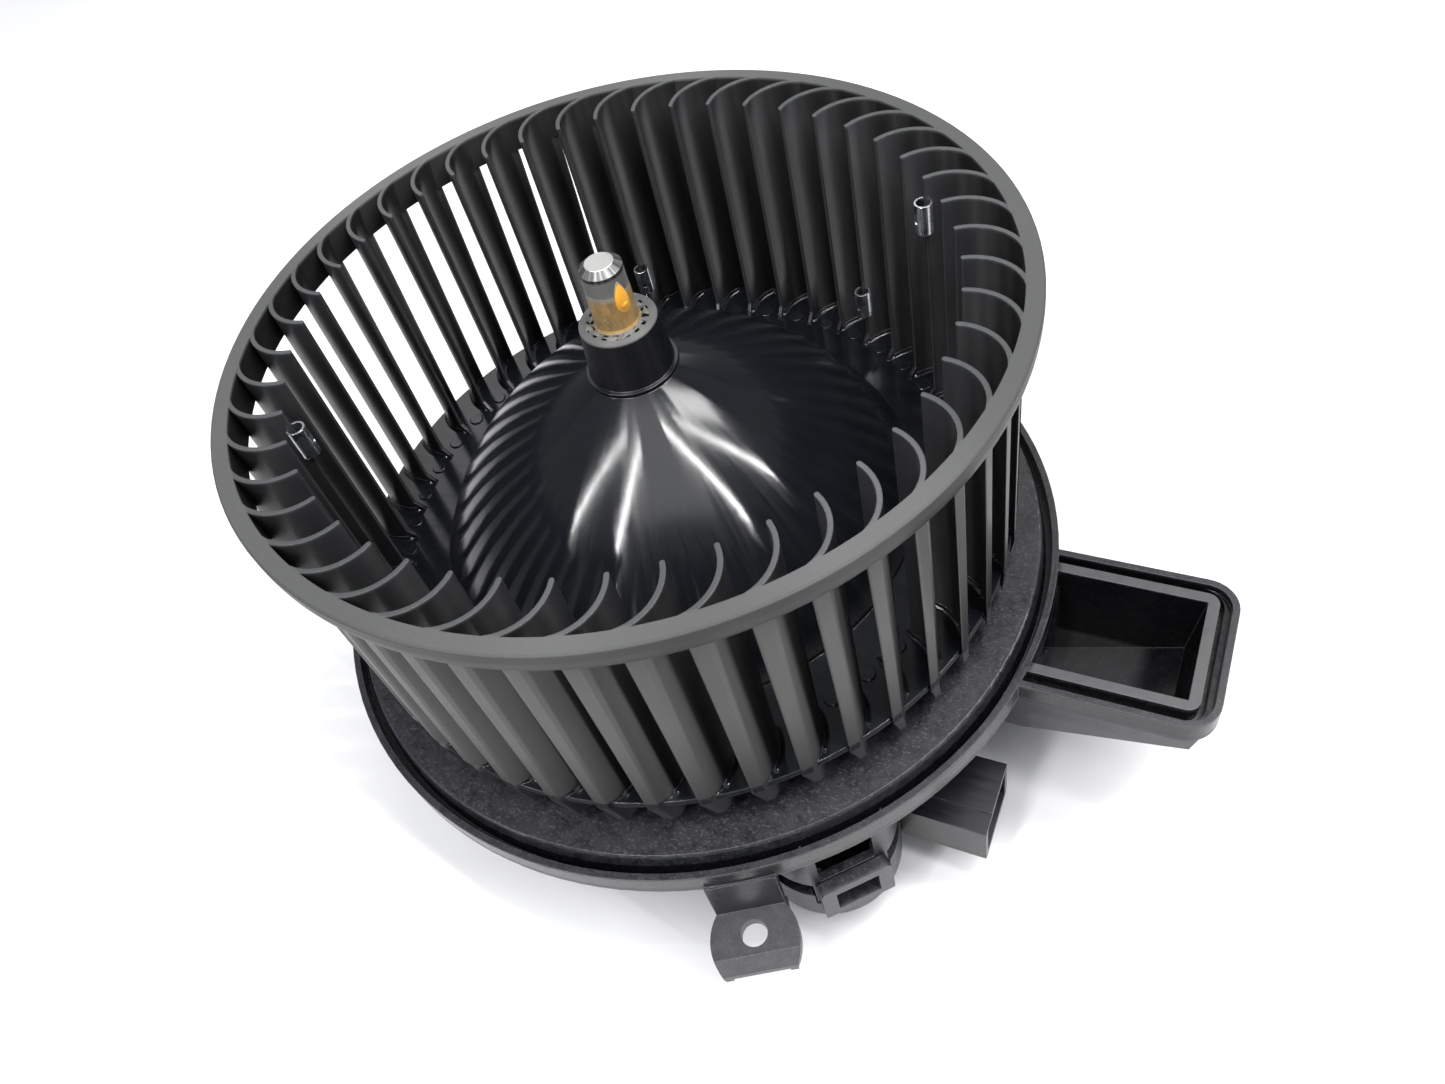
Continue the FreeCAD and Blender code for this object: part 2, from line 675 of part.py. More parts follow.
def pod_upper():
    top = PLATEAU_Z - 1
    shell = pod_block(0, POD_SPLIT_Z, top).cut(beyond_flat(0, POD_SPLIT_Z - 1, top + 1))
    shell = shell.cut(pod_flanks(POD_SPLIT_Z - 1, POD_FLANK_Z))
    tongue_low = POD_LEDGE_Z + 0.5
    tongue = block(POD_FLAT - POD_WALL, POD_FLAT, -TONGUE_HALF, TONGUE_HALF, tongue_low, POD_FLANK_Z + 1)
    catch_top = LOOP_TOP_Z - LOOP_BAR - FIT_GAP
    catch = wedge_y([
        (POD_FLAT - 0.5, catch_top),
        (POD_FLAT + 1.9, catch_top),
        (POD_FLAT + 1.9, catch_top - 1.0),
        (POD_FLAT, catch_top - 4.4),
        (POD_FLAT - 0.5, catch_top - 4.4),
    ], CATCH_HALF)
    catch_slot = block(POD_FLAT + 0.7, POD_FLAT + 3, -5, 5, catch_top - 2.0, catch_top - 1.4)
    rib = block(*POD_RIB, POD_FLANK_Z, LIP_BOTTOM_Z + 1)
    return shell.multiFuse([tongue, catch.cut(catch_slot), rib])


def pod_bore():
    roof = PLATEAU_Z - PLATEAU_THICKNESS
    inner = pod_block(POD_WALL, POD_SPLIT_Z - 1, roof).cut(beyond_flat(POD_WALL, POD_SPLIT_Z - 2, roof + 1))
    window = block(POD_FLAT - POD_WALL - 1, POD_FLAT + 5, WINDOW_Y[0], WINDOW_Y[1], WINDOW_Z[0], WINDOW_Z[1])
    return [inner, window]


def mounting_flange():
    plateau = revolved([
        (CUP_R - CUP_WALL, PLATEAU_Z - PLATEAU_THICKNESS),
        (CUP_R - CUP_WALL, PLATEAU_Z),
        (PLATEAU_R - 0.5, PLATEAU_Z),
        (PLATEAU_R, PLATEAU_Z - 0.5, PLATEAU_R - 0.15, PLATEAU_Z - 0.15),
        (PLATEAU_FOOT_R, GROOVE_Z),
        (PLATEAU_FOOT_R, GROOVE_Z - 0.2),
        (PLATEAU_R - 2, GROOVE_Z - 0.2),
        (PLATEAU_R - 2, PLATEAU_Z - PLATEAU_THICKNESS),
    ])
    cup = tube(CUP_R, CUP_R - CUP_WALL, CUP_BOTTOM_Z, CUP_TOP_Z)
    rib = block(CUP_R - 1, PLATEAU_R - 1, -RIB_HALF, RIB_HALF, LIP_BOTTOM_Z, PLATEAU_Z - 1)
    pod = turned_about_z(pod_upper(), POD_ANGLE).cut(groove_room())
    lug_low = BASE_RIM_TOP_Z + FIT_GAP
    lug = rod(LUG_R, lug_low, LUG_TOP_Z, SCREW_PCD / 2)
    lug = lug.fuse(block(CUP_R - 1, SCREW_PCD / 2, -LUG_WEB_HALF, LUG_WEB_HALF, lug_low, LUG_TOP_Z))
    ledge = block(CUP_BORE_R, CUP_R - 1, -LEDGE_HALF, LEDGE_HALF, LEDGE_Z[0], LEDGE_Z[1])
    solids = [plateau, lip_tray(), duct_wall(), duct_shell(), cup, pod]
    solids += around(rib, RIB_ANGLES) + around(ear(), EAR_ANGLES)
    solids += around(lug, SCREW_ANGLES) + around(ledge, evenly(DAMPER_LOBES, 15))
    body = solids[0].multiFuse(solids[1:])
    inside = CUP_R - CUP_WALL
    space_low, space_high = MOTOR_SPACE_Z
    motor_space = rod(inside, space_low, space_high).cut(rod(MOTOR_SPACE_R, space_low - 1, space_high + 1))
    kept_half = LEDGE_HALF + 0.2
    kept = block(MOTOR_SPACE_R - 0.5, CUP_R, -kept_half, kept_half, LEDGE_Z[0] - 0.1, LEDGE_Z[1] + 0.1)
    ledges = group(around(kept, evenly(DAMPER_LOBES, 15)))
    pilot = rod(PILOT_R, BASE_RIM_TOP_Z - 1, LUG_TOP_Z - 2, SCREW_PCD / 2)
    cuts = [duct_bore(), motor_space.cut(ledges), rod(CUP_BORE_R, CUP_BOTTOM_Z - 1, CUP_TOP_Z + 1)]
    cuts += [tube(inside, CUP_BORE_R - 1, CUP_BOTTOM_Z - 1, space_low)]
    cuts += [tube(inside, CUP_BORE_R - 1, space_high, CUP_TOP_Z + 1)]
    cuts += [turned_about_z(cut, POD_ANGLE) for cut in pod_bore()]
    cuts += [turned_about_z(block(*CABLE_PORT), POD_ANGLE)]
    cuts += around(pilot, SCREW_ANGLES)
    return body.cut(cuts)


# ---------------------------------------------------------------- covers
def pod_cover():
    """Cover with a skirt that reaches up inside the drum and a snap loop over the catch."""
    outside = pod_block(0, POD_BOTTOM_Z, POD_COVER_TOP_Z, 4.0)
    outside = outside.cut(beyond_flat(0, POD_LEDGE_Z, POD_COVER_TOP_Z + 1))
    inside = pod_block(POD_WALL, POD_BOTTOM_Z + 2, POD_COVER_TOP_Z + 1, 3.0)
    skirt_inset = POD_WALL + FIT_GAP
    skirt_low = POD_COVER_TOP_Z - 3
    skirt_top = POD_FLANK_Z + 1
    skirt = pod_block(skirt_inset, skirt_low, skirt_top).cut(
        pod_block(skirt_inset + SKIRT_WALL, skirt_low - 1, skirt_top + 1))
    hem = pod_block(POD_WALL - 0.5, skirt_low, skirt_low + 1).cut(
        pod_block(skirt_inset + SKIRT_WALL, skirt_low - 1, skirt_low + 2))
    skirt = skirt.fuse(hem).common(pod_flanks(skirt_low - 1, skirt_top + 1))
    tongue_room = block(POD_FLAT - POD_WALL - FIT_GAP, POD_FLAT + 5, -TONGUE_HALF - FIT_GAP,
                        TONGUE_HALF + FIT_GAP, POD_LEDGE_Z, skirt_top + 1)
    loop_x = POD_FLAT + FIT_GAP
    loop = block(loop_x, POD_FLAT + LOOP_DEPTH, -LOOP_HALF, LOOP_HALF, POD_LEDGE_Z - 2, LOOP_TOP_Z)
    corners = [edge for edge in loop.Edges if edge.BoundBox.XLength > 1 and edge.BoundBox.ZMin > LOOP_TOP_Z - 1]
    loop = loop.makeFillet(1.2, corners)
    loop_window = block(loop_x - 1, POD_FLAT + 4, LOOP_LEG - LOOP_HALF, LOOP_HALF - LOOP_LEG,
                        POD_LEDGE_Z, LOOP_TOP_Z - LOOP_BAR)
    shell = outside.cut(inside).fuse(skirt).cut(tongue_room).fuse(loop.cut(loop_window))
    shell = turned_about_z(shell, POD_ANGLE)
    plug_room = block(PLUG_X[0] - 2, PLUG_X[1] + 5, PLUG_Y[0] - FIT_GAP, PLUG_Y[1] + FIT_GAP,
                      PLUG_Z[0] - FIT_GAP, PLUG_Z[1] + 6)
    cup_room = rod(CUP_R + FIT_GAP, POD_BOTTOM_Z - 1, skirt_top + 1)
    return shell.cut([plug_room, cup_room])


def housing_base():
    disc = rod(BASE_RIM_R - 1, BASE_Z, BASE_Z + BASE_THICKNESS)
    edge = revolved([
        (CUP_R + FIT_GAP, BASE_Z + 1),
        (BASE_RIM_R - 1.2, BASE_Z),
        (BASE_RIM_R, BASE_Z + 1.2, BASE_RIM_R - 0.35, BASE_Z + 0.35),
        (BASE_RIM_R, BASE_RIM_TOP_Z),
        (CUP_R + FIT_GAP, BASE_RIM_TOP_Z),
    ])
    inner_z = BASE_Z + BASE_THICKNESS
    lug = rod(LUG_R, inner_z, BASE_RIM_TOP_Z, SCREW_PCD / 2)
    lug = lug.fuse(block(BASE_RIM_R - 1.5, SCREW_PCD / 2, -LUG_R, LUG_R, inner_z, BASE_RIM_TOP_Z))
    lug = lug.cut(rod(CLEARANCE_R, BASE_Z, 0, SCREW_PCD / 2))
    seat = tube(SEAT_R, BEARING_BOSS_R + 0.6, BASE_Z + 1, inner_z + 2.2)
    return merged([disc, edge, seat] + around(lug, SCREW_ANGLES))


def base_screws():
    x = SCREW_PCD / 2
    head_low = BASE_Z + 0.2
    head_high = BASE_Z + BASE_THICKNESS - EPS
    head = Part.makeCylinder(SCREW_HEAD_R, head_high - head_low, V(x, 0, head_low))
    head = head.makeFillet(0.6, [edge for edge in head.Edges if edge.BoundBox.ZMax < head_low + 0.1])
    shank = rod(SCREW_SHANK_R, head_high - 0.5, SCREW_END_Z, x)
    long, short = RECESS_HALF
    turn = block(x - short, x + short, -long, long, head_low - 1, head_low + 1)
    cross = block(x - long, x + long, -short, short, head_low - 1, head_low + 1)
    return group(around(head.fuse(shank).cut([turn, cross]), SCREW_ANGLES))


def connector_housing():
    x0, x1 = PLUG_X
    y0, y1 = PLUG_Y
    z0, z1 = PLUG_Z
    body = block(x0, x1, y0, y1, z0, z1)
    upright = [edge for edge in body.Edges if edge.BoundBox.XLength > 5]
    body = body.makeFillet(0.8, upright)
    socket = block(x1 - SOCKET_DEPTH, x1 + 1, y0 + PLUG_WALL, y1 - PLUG_WALL, z0 + PLUG_WALL, z1 - PLUG_WALL)
    step = block(x0 + 8, x1 + 1, y0 - 1, y0 + PLUG_STEP_WIDTH, z1 - PLUG_STEP_DEPTH, z1 + 1)
    middle = (y0 + y1) / 2
    key = block(x1 - SOCKET_DEPTH, x1 - 1.5, middle - KEY_HALF, middle + KEY_HALF, z0 + PLUG_WALL - 0.5,
                z0 + PLUG_WALL + KEY_HEIGHT)
    slots = []
    for y in TERMINAL_Y:
        half = TERMINAL_GAUGE / 2
        slots.append(block(x0 - 1, x1 - SOCKET_DEPTH + 1, y - half, y + half, TERMINAL_Z[0], TERMINAL_Z[1]))
    latch = block(x1 - 7, x1 - 4, y1 - 0.5, y1 + 1.2, -14, -9)
    return body.fuse(latch).cut([socket, step]).fuse(key).cut(slots)


def strip(points, gauge, low, high):
    """Stamped strip standing on edge along a plan path."""
    pieces = []
    for start, end in zip(points, points[1:]):
        length = math.dist(start, end)
        run = block(0, length, -gauge / 2, gauge / 2, low, high)
        run.rotate(V(0, 0, 0), V(0, 0, 1), math.degrees(math.atan2(end[1] - start[1], end[0] - start[0])))
        run.translate(V(start[0], start[1], 0))
        pieces.append(run)
    for x, y in points[1:-1]:
        pieces.append(rod(gauge / 2, low, high, x, y))
    return merged(pieces)


def power_terminals():
    half = TERMINAL_GAUGE / 2
    socket_end = PLUG_X[1] - SOCKET_DEPTH
    pins = []
    for y, turn_x, across in zip(TERMINAL_Y, reversed(TERMINAL_TURN_X), reversed(TERMINAL_ACROSS)):
        path = [(socket_end + 0.5, y), (turn_x, y), at(40, across, POD_ANGLE),
                at(TERMINAL_INNER_R, across, POD_ANGLE)]
        pin = strip(path, TERMINAL_GAUGE, TERMINAL_Z[0], TERMINAL_Z[1])
        tab = block(socket_end + 0.1, PLUG_X[1] - 3.5, y - half, y + half, TERMINAL_TAB_Z[0], TERMINAL_TAB_Z[1])
        pins.append(pin.fuse(tab))
    return group(pins)


# ---------------------------------------------------------------- motor shell
def motor_can():
    inner = CAN_R - CAN_WALL
    inner_top = CAN_TOP_Z - CAN_WALL
    boss_top = BEARING_Z[0] + BEARING_HALF + 3.8
    bend = CAN_SHOULDER * (1 - math.sqrt(0.5))
    can = revolved([
        (inner, CAN_BOTTOM_Z),
        (inner, CAN_TOP_Z - 5),
        (inner - 3.2, inner_top, inner - 0.94, inner_top - 0.94),
        (BEARING_SEAT_R, inner_top),
        (BEARING_SEAT_R, boss_top - 1.2),
        (5.2, boss_top - 1.2),
        (5.2, boss_top),
        (BEARING_BOSS_R, boss_top),
        (BEARING_BOSS_R, CAN_TOP_Z),
        (CAN_R - CAN_SHOULDER, CAN_TOP_Z),
        (CAN_R, CAN_TOP_Z - CAN_SHOULDER, CAN_R - bend, CAN_TOP_Z - bend),
        (CAN_R, CAN_BOTTOM_Z),
    ])
    top_vent = block(*TOP_VENT, inner_top - 2, CAN_TOP_Z + 1)
    side_vent = block(inner - 2, CAN_R + 1, -SIDE_VENT_HALF, SIDE_VENT_HALF, SIDE_VENT_Z[0], SIDE_VENT_Z[1])
    notch = turned_about_z(block(inner - 3, CAN_R + 1, -5.2, 6.2, CAN_BOTTOM_Z - 1, -8.5), POD_ANGLE)
    vents = around(top_vent, evenly(6, 30)) + around(side_vent, SIDE_VENT_ANGLES)
    return can.cut(vents + [notch])


def motor_end_plate():
    low = CAN_BOTTOM_Z - 2.0
    boss_low = BEARING_Z[1] - BEARING_HALF - 2.6
    end = revolved([
        (BEARING_SEAT_R, CAN_BOTTOM_Z),
        (BEARING_SEAT_R, boss_low + 1.2),
        (0, boss_low + 1.2),
        (0, boss_low),
        (BEARING_BOSS_R, boss_low),
        (BEARING_BOSS_R, low),
        (CAN_R, low),
        (CAN_R, CAN_BOTTOM_Z),
    ])
    vent = block(*END_VENT, low - 1, CAN_BOTTOM_Z + 1)
    return end.cut(around(vent, evenly(6)))


def spherical_bush(centre_z):
    ball = Part.makeSphere(BEARING_R, V(0, 0, centre_z))
    slab = tube(20, BEARING_BORE_R, centre_z - BEARING_HALF, centre_z + BEARING_HALF)
    return ball.common(slab)


def bearing_felts():
    inner, outer = FELT_R
    upper_low = BEARING_Z[0] + BEARING_HALF
    lower_high = BEARING_Z[1] - BEARING_HALF
    upper = tube(outer, inner, upper_low + 0.05, upper_low + 2.4)
    lower = tube(outer, inner, lower_high - 1.3, lower_high - 0.05)
    return group([upper, lower])


def bearing_retainers():
    pieces = []
    for low in (CAN_TOP_Z - CAN_WALL - 0.6, CAN_BOTTOM_Z + 0.04):
        washer = tube(RETAINER_R[1], RETAINER_R[0], low, low + RETAINER_THICKNESS)
        slots = around(block(4, 8.8, -0.6, 0.6, low - 1, low + 2), evenly(8))
        pieces.append(washer.cut(slots))
    return group(pieces)


def sector(outer, inner, low, high, span, centre_angle):
    whole = Part.makeCylinder(outer, high - low, V(0, 0, low), V(0, 0, 1), span)
    return turned_about_z(whole.cut(rod(inner, low - 1, high + 1)), centre_angle - span / 2)


def field_magnets():
    return group([sector(MAGNET_R[1], MAGNET_R[0], MAGNET_Z[0], MAGNET_Z[1], MAGNET_SPAN, angle)
                  for angle in (45, 225)])


def magnet_springs():
    gap = 180 - MAGNET_SPAN - 0.6
    gauge = 0.7
    springs = []
    for angle in (135, 315):
        outer = sector(MAGNET_R[1], MAGNET_R[1] - 3.4, 6, 40, gap, angle)
        inner = sector(MAGNET_R[1] - gauge, MAGNET_R[1] - 5, 5, 41, gap - 3.0, angle)
        springs.append(outer.cut(inner))
    return group(springs)


def damper(low):
    """Rubber ring round the can with lobes that reach the cup."""
    high = low + DAMPER_HEIGHT
    lobe = block(CAN_R + 1, CUP_R - CUP_WALL - 0.1, -DAMPER_LOBE_HALF, DAMPER_LOBE_HALF, low, high)
    lobe = lobe.makeFillet(0.8, [edge for edge in lobe.Edges if edge.BoundBox.XMin > CUP_R - CUP_WALL - 0.2
                                 and edge.BoundBox.ZLength > 1])
    ring = tube(CAN_R + DAMPER_WALL, CAN_R + 0.05, low, high)
    return merged([ring] + around(lobe, evenly(DAMPER_LOBES, 15)))


# ---------------------------------------------------------------- brush gear
def brush_card():
    low, high = CARD_Z
    card = tube(CARD_R[1], CARD_R[0], low, high)
    foot = rod(CARD_FOOT_R, CAN_BOTTOM_Z + 0.02, low + 0.5, CARD_R[1] - 3.3)
    terminal_room = turned_about_z(block(23.3, 31, -4.2, 5.2, low - 1, high + 1), POD_ANGLE)
    air = around(block(14, 24, -2.0, 2.0, low - 1, high + 1), CARD_AIR_ANGLES)
    return merged([card] + around(foot, CARD_FEET)).cut([terminal_room] + air)


def brush_holders():
    inner_y = BRUSH_HALF_WIDTH + HOLDER_CLEARANCE
    outer_y = inner_y + HOLDER_GAUGE
    low = BRUSH_Z[0] - HOLDER_CLEARANCE
    high = BRUSH_Z[1] + HOLDER_CLEARANCE
    box = block(10.6, HOLDER_END, -outer_y, outer_y, low - HOLDER_GAUGE, high + HOLDER_GAUGE)
    room = block(9, HOLDER_END - HOLDER_GAUGE, -inner_y, inner_y, low, high)
    lead_slot = block(14.5, HOLDER_END - 1.5, -0.9, 0.9, high - 0.1, high + 2)
    return group(around(box.cut([room, lead_slot]), BRUSH_ANGLES))


def carbon_brush(angle):
    brush = block(COMMUTATOR_R - 2, BRUSH_BACK, -BRUSH_HALF_WIDTH, BRUSH_HALF_WIDTH, BRUSH_Z[0], BRUSH_Z[1])
    brush = brush.cut(rod(COMMUTATOR_R + 0.05, BRUSH_Z[0] - 1, BRUSH_Z[1] + 1))
    return turned_about_z(brush, angle)


def brush_spring(angle):
    end_gap = SPRING_WIRE_R + 0.02
    start = BRUSH_BACK + end_gap
    length = HOLDER_END - HOLDER_GAUGE - end_gap - start
    helix = Part.makeLongHelix(length / SPRING_TURNS, length, SPRING_COIL_R)
    ring = Part.Wire(Part.makeCircle(SPRING_WIRE_R, V(SPRING_COIL_R, 0, 0), V(0, 1, 0)))
    coil = Part.Wire(helix.Edges).makePipeShell([ring], True, True)
    coil.rotate(V(0, 0, 0), V(0, 1, 0), 90)
    coil.translate(V(start, 0, (BRUSH_Z[0] + BRUSH_Z[1]) / 2))
    return turned_about_z(coil, angle)


def brush_lead(angle):
    """Braided pigtail: up out of the brush, over the holder's side and down to the card."""
    bend = LEAD_BEND
    top = BRUSH_Z[1] + 3.0
    side = BRUSH_HALF_WIDTH + 4.0
    x = LEAD_X
    corner = bend * math.sqrt(0.5)
    first_mid = V(x, bend - corner, top - bend + corner)
    second_mid = V(x, side - bend + corner, top - bend + corner)
    path = Part.Wire([
        Part.makeLine(V(x, 0, BRUSH_Z[1] + EPS), V(x, 0, top - bend)),
        Part.Arc(V(x, 0, top - bend), first_mid, V(x, bend, top)).toShape(),
        Part.makeLine(V(x, bend, top), V(x, side - bend, top)),
        Part.Arc(V(x, side - bend, top), second_mid, V(x, side, top - bend)).toShape(),
        Part.makeLine(V(x, side, top - bend), V(x, side, CARD_Z[1] + EPS)),
    ])
    ring = Part.Wire(Part.makeCircle(LEAD_R, V(x, 0, BRUSH_Z[1] + EPS), V(0, 0, 1)))
    return turned_about_z(path.makePipeShell([ring], True, True), angle)


def suppression_chokes():
    """Two ferrite rods with their coils, lying on the card each side of the terminals."""
    x, z = CHOKE_CENTRE
    chokes = []
    for angle in CHOKE_ANGLES:
        ferrite = Part.makeCylinder(CHOKE_ROD_R, CHOKE_LENGTH, V(x, -CHOKE_LENGTH / 2, z), V(0, 1, 0))
        first_y = -CHOKE_PITCH * (CHOKE_TURNS - 1) / 2
        turns = []
        for index in range(CHOKE_TURNS):
            centre = V(x, first_y + CHOKE_PITCH * index, z)
            turns.append(Part.makeTorus(CHOKE_COIL_R, CHOKE_WIRE_R, centre, V(0, 1, 0)))
        cradles = [block(x - 1.2, x + 1.2, y - 0.5, y + 0.5, CARD_Z[1] + EPS, z - 0.9) for y in (-6.4, 6.4)]
        chokes.append(turned_about_z(ferrite.multiFuse(turns + cradles), angle))
    return group(chokes)


def suppression_capacitor():
    body = block(17.5, 22.5, -4.5, 4.5, CARD_Z[1] + EPS, -3.6)
    return turned_about_z(body.makeFillet(0.9, body.Edges), CAPACITOR_ANGLE)


def thermal_fuse():
    body = block(22.0, 26.5, -4.0, 4.0, CARD_Z[1] + EPS, -6.2)
    return turned_about_z(body.makeFillet(0.5, body.Edges), FUSE_ANGLE)


# ---------------------------------------------------------------- export
def main():
    os.makedirs(OUT, exist_ok=True)
    save(fan_wheel(), "fan_wheel")
    save(balance_clips(), "balance_clips")
    save(motor_shaft(), "motor_shaft")
    save(retaining_compound(), "retaining_compound")
    save(armature_core(), "armature_core")
    save(armature_windings(), "armature_windings")
    save(commutator_hub(), "commutator_hub")
    save(commutator_bars(), "commutator_bars")
    save(thrust_washers(), "thrust_washers")
    save(mounting_flange(), "mounting_flange")
    save(pod_cover(), "pod_cover")
    save(housing_base(), "housing_base")
    save(base_screws(), "base_screws")
    save(connector_housing(), "connector_housing")
    save(power_terminals(), "power_terminals")
    save(motor_can(), "motor_can")
    save(motor_end_plate(), "motor_end_plate")
    save(spherical_bush(BEARING_Z[0]), "upper_bearing")
    save(spherical_bush(BEARING_Z[1]), "lower_bearing")
    save(bearing_felts(), "bearing_felts")
    save(bearing_retainers(), "bearing_retainers")
    save(field_magnets(), "field_magnets")
    save(magnet_springs(), "magnet_springs")
    save(damper(DAMPER_LOW_Z[0]), "upper_damper")
    save(damper(DAMPER_LOW_Z[1]), "lower_damper")
    save(brush_card(), "brush_card")
    save(brush_holders(), "brush_holders")
    save(suppression_chokes(), "suppression_chokes")
    save(suppression_capacitor(), "suppression_capacitor")
    save(thermal_fuse(), "thermal_fuse")
    for label, angle in zip(("a", "b"), BRUSH_ANGLES):
        save(carbon_brush(angle), "brush_" + label)
        save(brush_spring(angle), "brush_spring_" + label)
        save(brush_lead(angle), "brush_lead_" + label)


main()
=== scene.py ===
import json
import math
import random

import bmesh
import bpy
from mathutils import Matrix, Vector


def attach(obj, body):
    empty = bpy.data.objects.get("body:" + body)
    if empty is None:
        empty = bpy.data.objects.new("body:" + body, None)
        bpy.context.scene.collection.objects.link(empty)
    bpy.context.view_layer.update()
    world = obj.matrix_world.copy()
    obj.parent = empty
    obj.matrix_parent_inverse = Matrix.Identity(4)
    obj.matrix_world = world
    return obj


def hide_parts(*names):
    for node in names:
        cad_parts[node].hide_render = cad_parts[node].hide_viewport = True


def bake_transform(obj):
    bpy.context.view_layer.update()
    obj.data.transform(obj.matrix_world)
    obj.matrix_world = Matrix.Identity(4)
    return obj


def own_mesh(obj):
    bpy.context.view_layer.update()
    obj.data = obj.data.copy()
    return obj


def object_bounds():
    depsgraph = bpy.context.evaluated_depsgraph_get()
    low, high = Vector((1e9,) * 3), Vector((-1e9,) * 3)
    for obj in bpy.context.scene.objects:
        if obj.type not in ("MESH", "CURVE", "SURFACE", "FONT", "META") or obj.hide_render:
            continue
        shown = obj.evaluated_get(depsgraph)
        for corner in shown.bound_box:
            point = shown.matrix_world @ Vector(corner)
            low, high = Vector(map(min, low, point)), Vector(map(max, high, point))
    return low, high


# Heater blower motor: a black squirrel-cage wheel on a motor in a moulded flange housing.
# +Z runs along the motor axis and +X along the cooling-air duct. Blender's lengths are metres; the
# constants are in millimetres or metres as each heading says. Angles are in degrees.

MM = 0.001

# ---------------------------------------------------------------- camera and light
# CAMERA_PLACE and LIGHT_TARGET_Z are in millimetres, the lamps' sizes and distances and the clip in metres.
CAMERA_PLACE = (101.8, -128.0, 210.05)
CAMERA_RIGHT = (0.9044, 0.3851, -0.1841)
CAMERA_BACK = (0.3756, -0.5132, 0.7717)
CAMERA_LENS = 27.72
CAMERA_SENSOR_WIDTH = 36.0
CAMERA_CLIP = (0.01, 20.0)
LIGHT_TARGET_Z = 50.0
ROOM_LIGHT = 0.3
ROOM_COLOUR = (0.93, 0.96, 1.0, 1)
LAMPS = [  # name, azimuth, elevation, distance, width, height, power
    ("tube_right", 18.0, 54.0, 1.1, 0.016, 0.85, 6.6),
    ("tube_front_right", -13.0, 60.0, 1.1, 0.016, 0.85, 7.8),
    ("tube_front", -100.0, 54.0, 1.1, 0.016, 0.85, 7.2),
    ("tube_left", -131.0, 54.0, 1.1, 0.016, 0.75, 5.2),
    ("tube_back_right", 48.0, 64.0, 1.1, 0.26, 0.35, 5.5),
    ("floor_wash", -60.0, 74.0, 1.2, 0.9, 0.9, 6.5),
    ("ceiling", 118.0, 41.0, 1.3, 1.1, 0.35, 2.2),
    ("front_fill", -65.0, 14.0, 1.2, 1.0, 0.5, 1.5),
]

# ---------------------------------------------------------------- floor and backdrop, in metres
BACKDROP_TURN = 36.0
BACKDROP_HALF_WIDTH = 3.5
BACKDROP_NEAR = -3.0
BACKDROP_FAR = 1.2
BACKDROP_BEND_R = 0.8
BACKDROP_BEND_STEPS = 12
BACKDROP_TOP = 3.0

# ---------------------------------------------------------------- wheel, in millimetres
BLADE_COUNT = 47
FIRST_BLADE_ANGLE = 5.05
BLADE_TIP_R = 61.5
BLADE_BEND_R = 9.8
BLADE_THICKNESS = 0.9
BLADE_NOSE_TURNS = range(120, 241, 30)
BLADE_SIDE_TURNS = range(90, -9, -6)
WHEEL_FLOOR_Z = 30.0
WHEEL_FLOOR_R = 71.0
ROOT_FILLET = 0.9
FILLET_STEPS = 5
FOOT_SUNK = 0.1
PAD_R = 1.6
PAD_HEIGHT = 0.35
PAD_ROUND = 0.12
PAD_RING_R = 61.2
PAD_INNER_SHARE = 0.4
PAD_SIDES = 28
PAD_SHARP_ANGLE = 30.0
BOSS_TOP_Z = 81.8
SHAFT_R = 4.0

# ---------------------------------------------------------------- adhesive, in millimetres
PATCH_SEED = 7
PATCH_COUNT = 10
PATCH_SWAY = 10
PATCH_GAP = (0.5, 1.5)
PATCH_LENGTH = (0.8, 1.5)
PATCH_WIDTH = (0.4, 0.8)
PATCH_WAVES = 4
PATCH_WAVE_SIZE = (0.1, 0.3)
PATCH_HEIGHT = 0.07
WAVE_START = (0, 6.28)  # radians
DRIP_SEED = 3
DRIP_ANGLE = -23.5
DRIP_Z = 88.4
DRIP_SUNK = 0.30
DRIP_DEPTH = 0.80
DRIP_HALF_WIDTH = 1.35
DRIP_HALF_HEIGHT = 3.9
DRIP_SWELLS = (0.08, 0.05)
DRIP_SLUMP = 0.2
DRIP_TAPER = 0.35
DRIP_TAPER_FROM = -0.5

# ---------------------------------------------------------------- brush gear, in millimetres
BRUSHES = {"a": 45.0, "b": 225.0}
BRUSH_TOP_Z = -3.03
SPRING_SPAN = (20.02, 27.28)
SPRING_Z = -6.15
SPRING_COIL_R = 2.1
SPRING_WIRE_R = 0.3
SPRING_OPEN_TURNS = 3
SPRING_CLOSED_TURNS = 2
SPRING_STEPS = 24
SPRING_SIDES = 14
SPRING_COIL_GAP = 0.02
LEAD_R = 0.55
LEAD_SIDES = 24
LEAD_STRANDS = 4
LEAD_SWELL = (0.93, 0.07)
LEAD_OUT = 16.5
LEAD_SIDE = 8.0
LEAD_BEND = 1.6
LEAD_TOP_Z = -0.05
LEAD_FOOT_STEPS = 3
LEAD_BEND_STEPS = 6
LEAD_RUN_STEPS = 12
CARD_TOP_Z = -9.98

